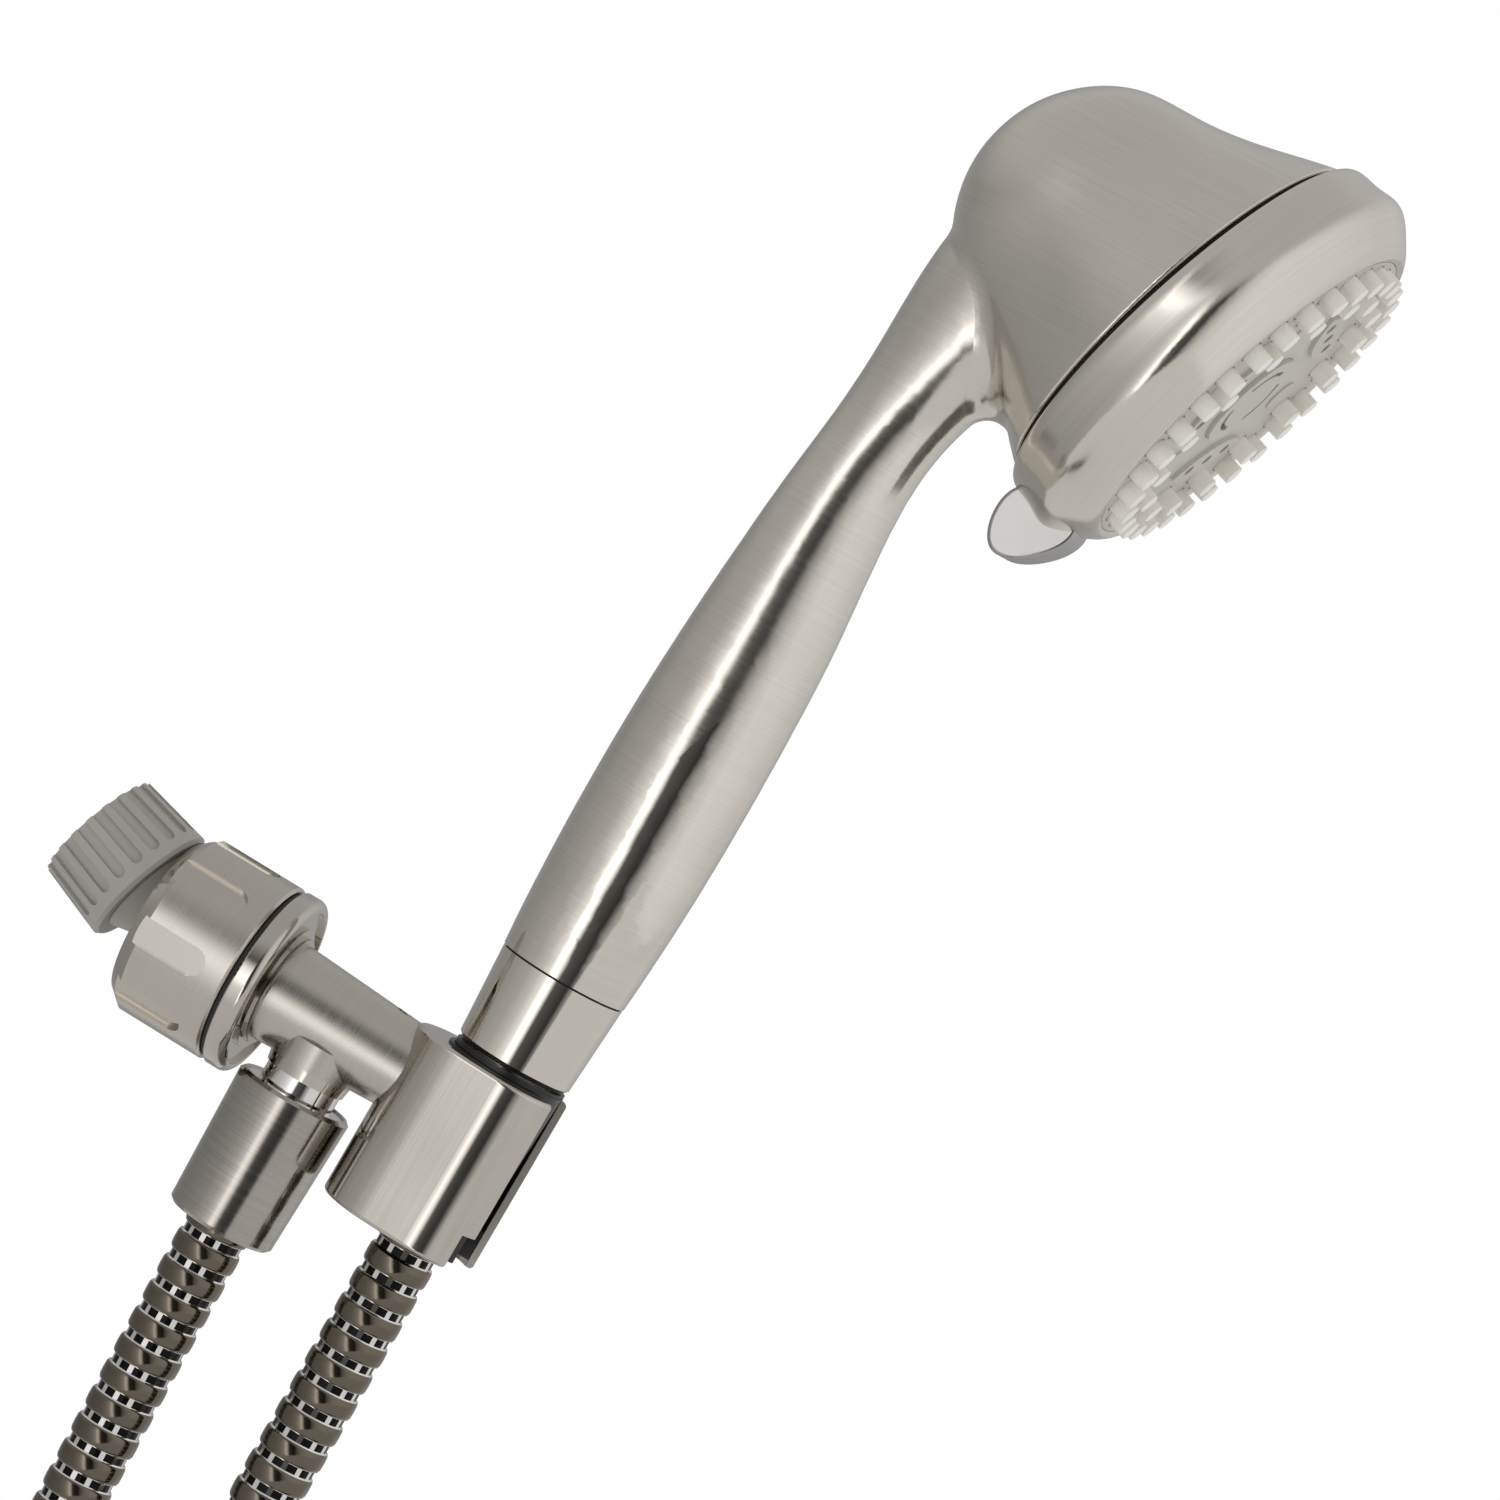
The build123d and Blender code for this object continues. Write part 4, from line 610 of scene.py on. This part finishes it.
class SHOWER_OT_spray_head(bpy.types.Operator):
    """Finishes the selector ring, its lever and the spray face"""

    bl_idname = "shower.spray_head"
    bl_label = "Finish the spray head"

    def execute(self, context):
        colours = context.scene.shower_finish
        ring_nickel = brushed(
            "ring_nickel", colours.nickel, HEAD_POINT, HEAD_AXIS, COARSE, roughness=0.16, contrast=0.1
        )
        # The lever's colour is the polished plating darkened as painted shade
        lever_polish = polished("lever_polished", shade(colours.polished, LEVER_PAINTED_SHADE), LEVER_ROUGHNESS)
        face_plastic = moulded("face_grey_plastic", colours.face, roughness=0.38, grain=2000.0)
        nozzle_rubber = moulded("nozzle_grey_rubber", colours.nozzle, roughness=0.5, grain=2600.0)
        dress(ring_nickel, "selector_bezel")
        dress(lever_polish, "selector_lever")
        dress(face_plastic, "face_plate", "centre_cap")
        dress(nozzle_rubber, "nozzle_mat")
        return {"FINISHED"}


def coil_controls():
    """Control points of the coil's turns, worked out so that the smooth line lies on the turns."""
    points = []
    count = round((COIL_END - COIL_START) / COIL_STEP)
    half_width = COIL_PITCH * (COIL_END - COIL_START) / 360 / 2
    outside = COIL_R / cos(radians(COIL_STEP / 2))
    for i in range(count):
        share = (i + 0.5) / count
        angle = radians(COIL_START + (COIL_END - COIL_START) * share)
        spread = half_width * (2 * share - 1)
        points.append(COIL_MIDDLE + Vector((outside * cos(angle), spread, outside * sin(angle))))
    return points


def hose_route():
    """Control points of the whole hose, from the outlet to the handset."""
    outlet = [HOSE_START, SPIGOT_POINT + SPIGOT_AXIS * OUTLET_BEND + BRACKET_AXIS * OUTLET_LEAN]
    lean = HANDSET_POINT + BRACKET_AXIS * HANDSET_LEAN
    handset = [lean + HANDSET_AXIS * reach for reach in (HANDSET_BEND, HANDSET_STRAIGHT)]
    route = [*outlet, *map(Vector, OUTLET_ROUTE), *coil_controls(), *map(Vector, HANDSET_ROUTE)]
    return [*route, *handset, LIFT_END]


def smooth_line(name, points):
    """A smooth curve whose control points are the given points."""
    data = bpy.data.curves.new(name, "CURVE")
    data.dimensions = "3D"
    data.resolution_u = ROUTE_STEPS
    spline = data.splines.new("NURBS")
    spline.points.add(len(points) - 1)
    for control, point in zip(spline.points, points):
        control.co = (*point, 1.0)
    spline.order_u = 3
    spline.use_endpoint_u = True
    line = bpy.data.objects.new(name, data)
    bpy.context.collection.objects.link(line)
    return line


def points_along(line):
    """Points read from a smooth curve."""
    mesh = bpy.data.meshes.new_from_object(line)
    points = [vertex.co.copy() for vertex in mesh.vertices]
    bpy.data.meshes.remove(mesh)
    return points


def start_mesh():
    """Leaves edit mode and selects nothing."""
    if bpy.context.mode != "OBJECT":
        bpy.ops.object.mode_set(mode="OBJECT")
    bpy.ops.object.select_all(action="DESELECT")


class SHOWER_OT_hose(bpy.types.Operator):
    """Builds the banded metal hose along its route"""

    bl_idname = "shower.hose"
    bl_label = "Build the hose"

    def execute(self, context):
        size = context.scene.shower_hose
        line = smooth_line("hose_line", hose_route())
        path = points_along(line)
        length = sum((b - a).length for a, b in zip(path, path[1:]))
        hose = self.band(size)
        self.finish_band(hose, context.scene.shower_finish, size.sides)
        self.repeat(hose, line, length, size.pitch)
        bpy.data.objects.remove(line)
        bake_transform(hose)
        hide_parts("hose_run_outlet", "hose_coil", "hose_run_handset")
        return {"FINISHED"}

    def band(self, size):
        """One band of the hose on X: half a groove, a rounded crown and half a groove."""
        start_mesh()
        low = size.groove_diameter / 2
        high = size.diameter / 2
        edge = size.groove_width / 2
        rise = high - low
        rising = [(edge, low), *((edge + inward, low + share * rise) for inward, share in BAND_SHOULDER)]
        falling = [(size.pitch - station, wide) for station, wide in reversed(rising)]
        profile = [*rising, (size.pitch / 2, high), *falling, (size.pitch, low)]
        bpy.ops.mesh.primitive_circle_add(vertices=size.sides, radius=low, rotation=(0, pi / 2, 0))
        hose = bpy.context.object
        hose.name = "hose"
        bpy.ops.object.transform_apply(location=True, rotation=True, scale=True)
        bpy.ops.object.mode_set(mode="EDIT")
        at, radius = 0.0, low
        for station, wide in profile:
            bpy.ops.mesh.extrude_edges_move(TRANSFORM_OT_translate={"value": (station - at, 0, 0)})
            grow = wide / radius
            bpy.ops.transform.resize(value=(1, grow, grow), center_override=(station, 0, 0))
            at, radius = station, wide
        bpy.ops.mesh.select_all(action="SELECT")
        bpy.ops.mesh.normals_make_consistent(inside=False)
        bpy.ops.object.mode_set(mode="OBJECT")
        return hose

    def finish_band(self, hose, colours, sides):
        """Satin crown with strokes round the hose, and a groove painted black as painted shade, with bright
        faces as painted reflections in it and painted highlights on the band's walls.
        """
        mesh = hose.data
        mesh.materials.append(banded("hose_satin", colours.bronze, roughness=0.10))
        # Bright polished metal, for painted reflections in the groove and painted highlights on the band's
        # walls
        mesh.materials.append(banded("hose_painted_glint", colours.polished, roughness=0.10))
        # Black, for painted shade in the groove
        mesh.materials.append(banded("hose_painted_shade", colours.black, roughness=0.30))
        low = min(vertex.co.yz.length for vertex in mesh.vertices)
        layer = mesh.uv_layers.new(name="bands")
        for face in mesh.polygons:
            in_groove = max(mesh.vertices[v].co.yz.length for v in face.vertices) < low * GROOVE_SHARE
            middle = atan2(face.center.z, face.center.y)
            # One side in every few of the groove is painted bright as a painted reflection
            is_painted_glint = round(sides * middle / (2 * pi) - 0.5) % PAINTED_GLINT_EVERY == 0
            if in_groove:
                face.material_index = PAINTED_GLINT if is_painted_glint else PAINTED_SHADE
            # The band's steep walls are painted bright too, as painted highlights
            elif abs(face.normal.x) > STEEP:
                face.material_index = PAINTED_GLINT
            else:
                face.material_index = SATIN
            face.use_smooth = not in_groove
            for loop in face.loop_indices:
                co = mesh.vertices[mesh.loops[loop].vertex_index].co
                angle = atan2(co.z, co.y)
                if angle - middle > pi:
                    angle -= 2 * pi
                if middle - angle > pi:
                    angle += 2 * pi
                layer.data[loop].uv = (co.x * BAND_UV_PER_METRE, angle / (2 * pi))

    def repeat(self, hose, line, length, pitch):
        """Repeats the band along the route and closes the ends."""
        start_mesh()
        hose.select_set(True)
        bpy.context.view_layer.objects.active = hose
        row = hose.modifiers.new("bands", "ARRAY")
        row.use_constant_offset = True
        row.use_relative_offset = False
        row.constant_offset_displace = (pitch, 0, 0)
        row.count = int(length / pitch)
        row.use_merge_vertices = True
        row.merge_threshold = MERGE_GAP
        bend = hose.modifiers.new("route", "CURVE")
        bend.object = line
        bend.deform_axis = "POS_X"
        for modifier in ("bands", "route"):
            bpy.ops.object.modifier_apply(modifier=modifier)
        bpy.ops.object.mode_set(mode="EDIT")
        bpy.ops.mesh.select_mode(type="EDGE")
        bpy.ops.mesh.select_all(action="DESELECT")
        bpy.ops.mesh.select_non_manifold(
            extend=False, use_wire=False, use_multi_face=False, use_non_contiguous=False, use_verts=False
        )
        bpy.ops.mesh.fill_holes(sides=0)
        bpy.ops.object.mode_set(mode="OBJECT")


class SHOWER_OT_stage(bpy.types.Operator):
    """Sets up the camera, the white background, the floor and the light tent"""

    bl_idname = "shower.stage"
    bl_label = "Set the stage"

    def execute(self, context):
        self.camera(context.scene.shower_camera)
        self.background()
        self.floor()
        self.tent(context.scene.shower_camera)
        context.scene.view_settings.view_transform = "Standard"
        return {"FINISHED"}

    def camera(self, place):
        """Camera at the given angle, looking at the target."""
        azimuth, elevation = radians(place.azimuth), radians(place.elevation)
        back = Vector((sin(azimuth) * cos(elevation), -cos(azimuth) * cos(elevation), sin(elevation)))
        data = bpy.data.cameras.new("camera")
        data.lens = place.lens
        data.sensor_width = SENSOR
        data.clip_start = CLIP_START
        camera = bpy.data.objects.new("camera", data)
        camera.location = Vector(place.target) + back * place.distance
        aim = (-back).to_track_quat("-Z", "Y").to_matrix()
        camera.rotation_euler = (aim @ Matrix.Rotation(radians(place.roll), 3, "Z")).to_euler()
        bpy.context.collection.objects.link(camera)
        bpy.context.scene.camera = camera

    def background(self):
        """Plain white world behind the set."""
        world = bpy.data.worlds.new("white_room")
        bpy.context.scene.world = world
        world.use_nodes = True
        backdrop = world.node_tree.nodes["Background"]
        backdrop.inputs["Color"].default_value = WHITE
        backdrop.inputs["Strength"].default_value = 1.0

    def floor(self):
        """Pale floor well below the hose."""
        start_mesh()
        bottom = CAD_BOX[0].z - FLOOR_BELOW
        bpy.ops.mesh.primitive_plane_add(size=FLOOR_SIZE, location=(CAD_BOX[0].x, 0, bottom))
        floor = bpy.context.object
        floor.name = "floor"
        finish = Finish("floor_white")
        finish.set(
            Base_Color=(*shade(WHITE[:3], FLOOR_SHADE), 1),
            Roughness=FLOOR_ROUGHNESS,
            Emission_Color=WHITE,
            Emission_Strength=FLOOR_GLOW,
        )
        floor.data.materials.append(finish.material)

    def tent(self, place):
        """Light tent: soft bright and dark strips round the camera, and a greyer top."""
        start_mesh()
        bpy.ops.mesh.primitive_uv_sphere_add(segments=TENT_SEGMENTS, ring_count=TENT_RINGS, radius=TENT_R)
        tent = bpy.context.object
        tent.name = "light_tent"
        tent.location = place.target
        tent.rotation_euler = (0, 0, radians(place.azimuth))
        tent.visible_camera = False
        tent.visible_shadow = False
        finish = Finish("tent_cloth")
        coords = finish.node("ShaderNodeTexCoord", {}, {}, "Object")
        right, front, up = (finish.part(coords, axis) for axis in "XYZ")
        turn = right.math("ARCTAN2", right, front * -1.0)
        stops = [(0.5 + angle / 360, level / TENT_STRENGTH) for angle, level in TENT_STRIPS]
        strips = finish.ramp(turn * (0.5 / pi) + 0.5, stops)
        height = up * (1 / TENT_R)
        plain = finish.step(height, *STRIPS_FADE)
        fall = 1 - finish.step(height, *TOP_FADE) * (1 - TENT_TOP)
        level = (strips * (1 - plain) + plain * (TENT_PLAIN / TENT_STRENGTH)) * fall
        finish.set(
            Base_Color=(0, 0, 0, 1),
            Roughness=1.0,
            Emission_Color=level,
            Emission_Strength=TENT_STRENGTH,
            Specular_IOR_Level=0.0,
        )
        tent.data.materials.append(finish.material)


class SHOWER_PT_panel(bpy.types.Panel):
    """Lists the steps in the sidebar"""

    bl_idname = "SHOWER_PT_panel"
    bl_label = "Hand shower set"
    bl_space_type = "VIEW_3D"
    bl_region_type = "UI"
    bl_category = "Shower"

    def draw(self, context):
        for operator in OPERATORS:
            self.layout.operator(operator.bl_idname)


SETTINGS = {
    "shower_camera": CameraSettings,
    "shower_hose": HoseSettings,
    "shower_finish": FinishSettings,
}
OPERATORS = (SHOWER_OT_bracket, SHOWER_OT_handset, SHOWER_OT_spray_head, SHOWER_OT_hose, SHOWER_OT_stage)
CLASSES = (*SETTINGS.values(), *OPERATORS, SHOWER_PT_panel)


def register():
    """Registers the classes and puts the settings on the scene."""
    for cls in CLASSES:
        bpy.utils.register_class(cls)
    for name, cls in SETTINGS.items():
        setattr(bpy.types.Scene, name, PointerProperty(type=cls))


def unregister():
    """Takes the settings and the classes away again."""
    for name in SETTINGS:
        delattr(bpy.types.Scene, name)
    for cls in reversed(CLASSES):
        bpy.utils.unregister_class(cls)


def main():
    """Runs every step in order."""
    register()
    bpy.ops.shower.bracket()
    bpy.ops.shower.handset()
    bpy.ops.shower.spray_head()
    bpy.ops.shower.hose()
    bpy.ops.shower.stage()


if __name__ == "__main__":
    main()
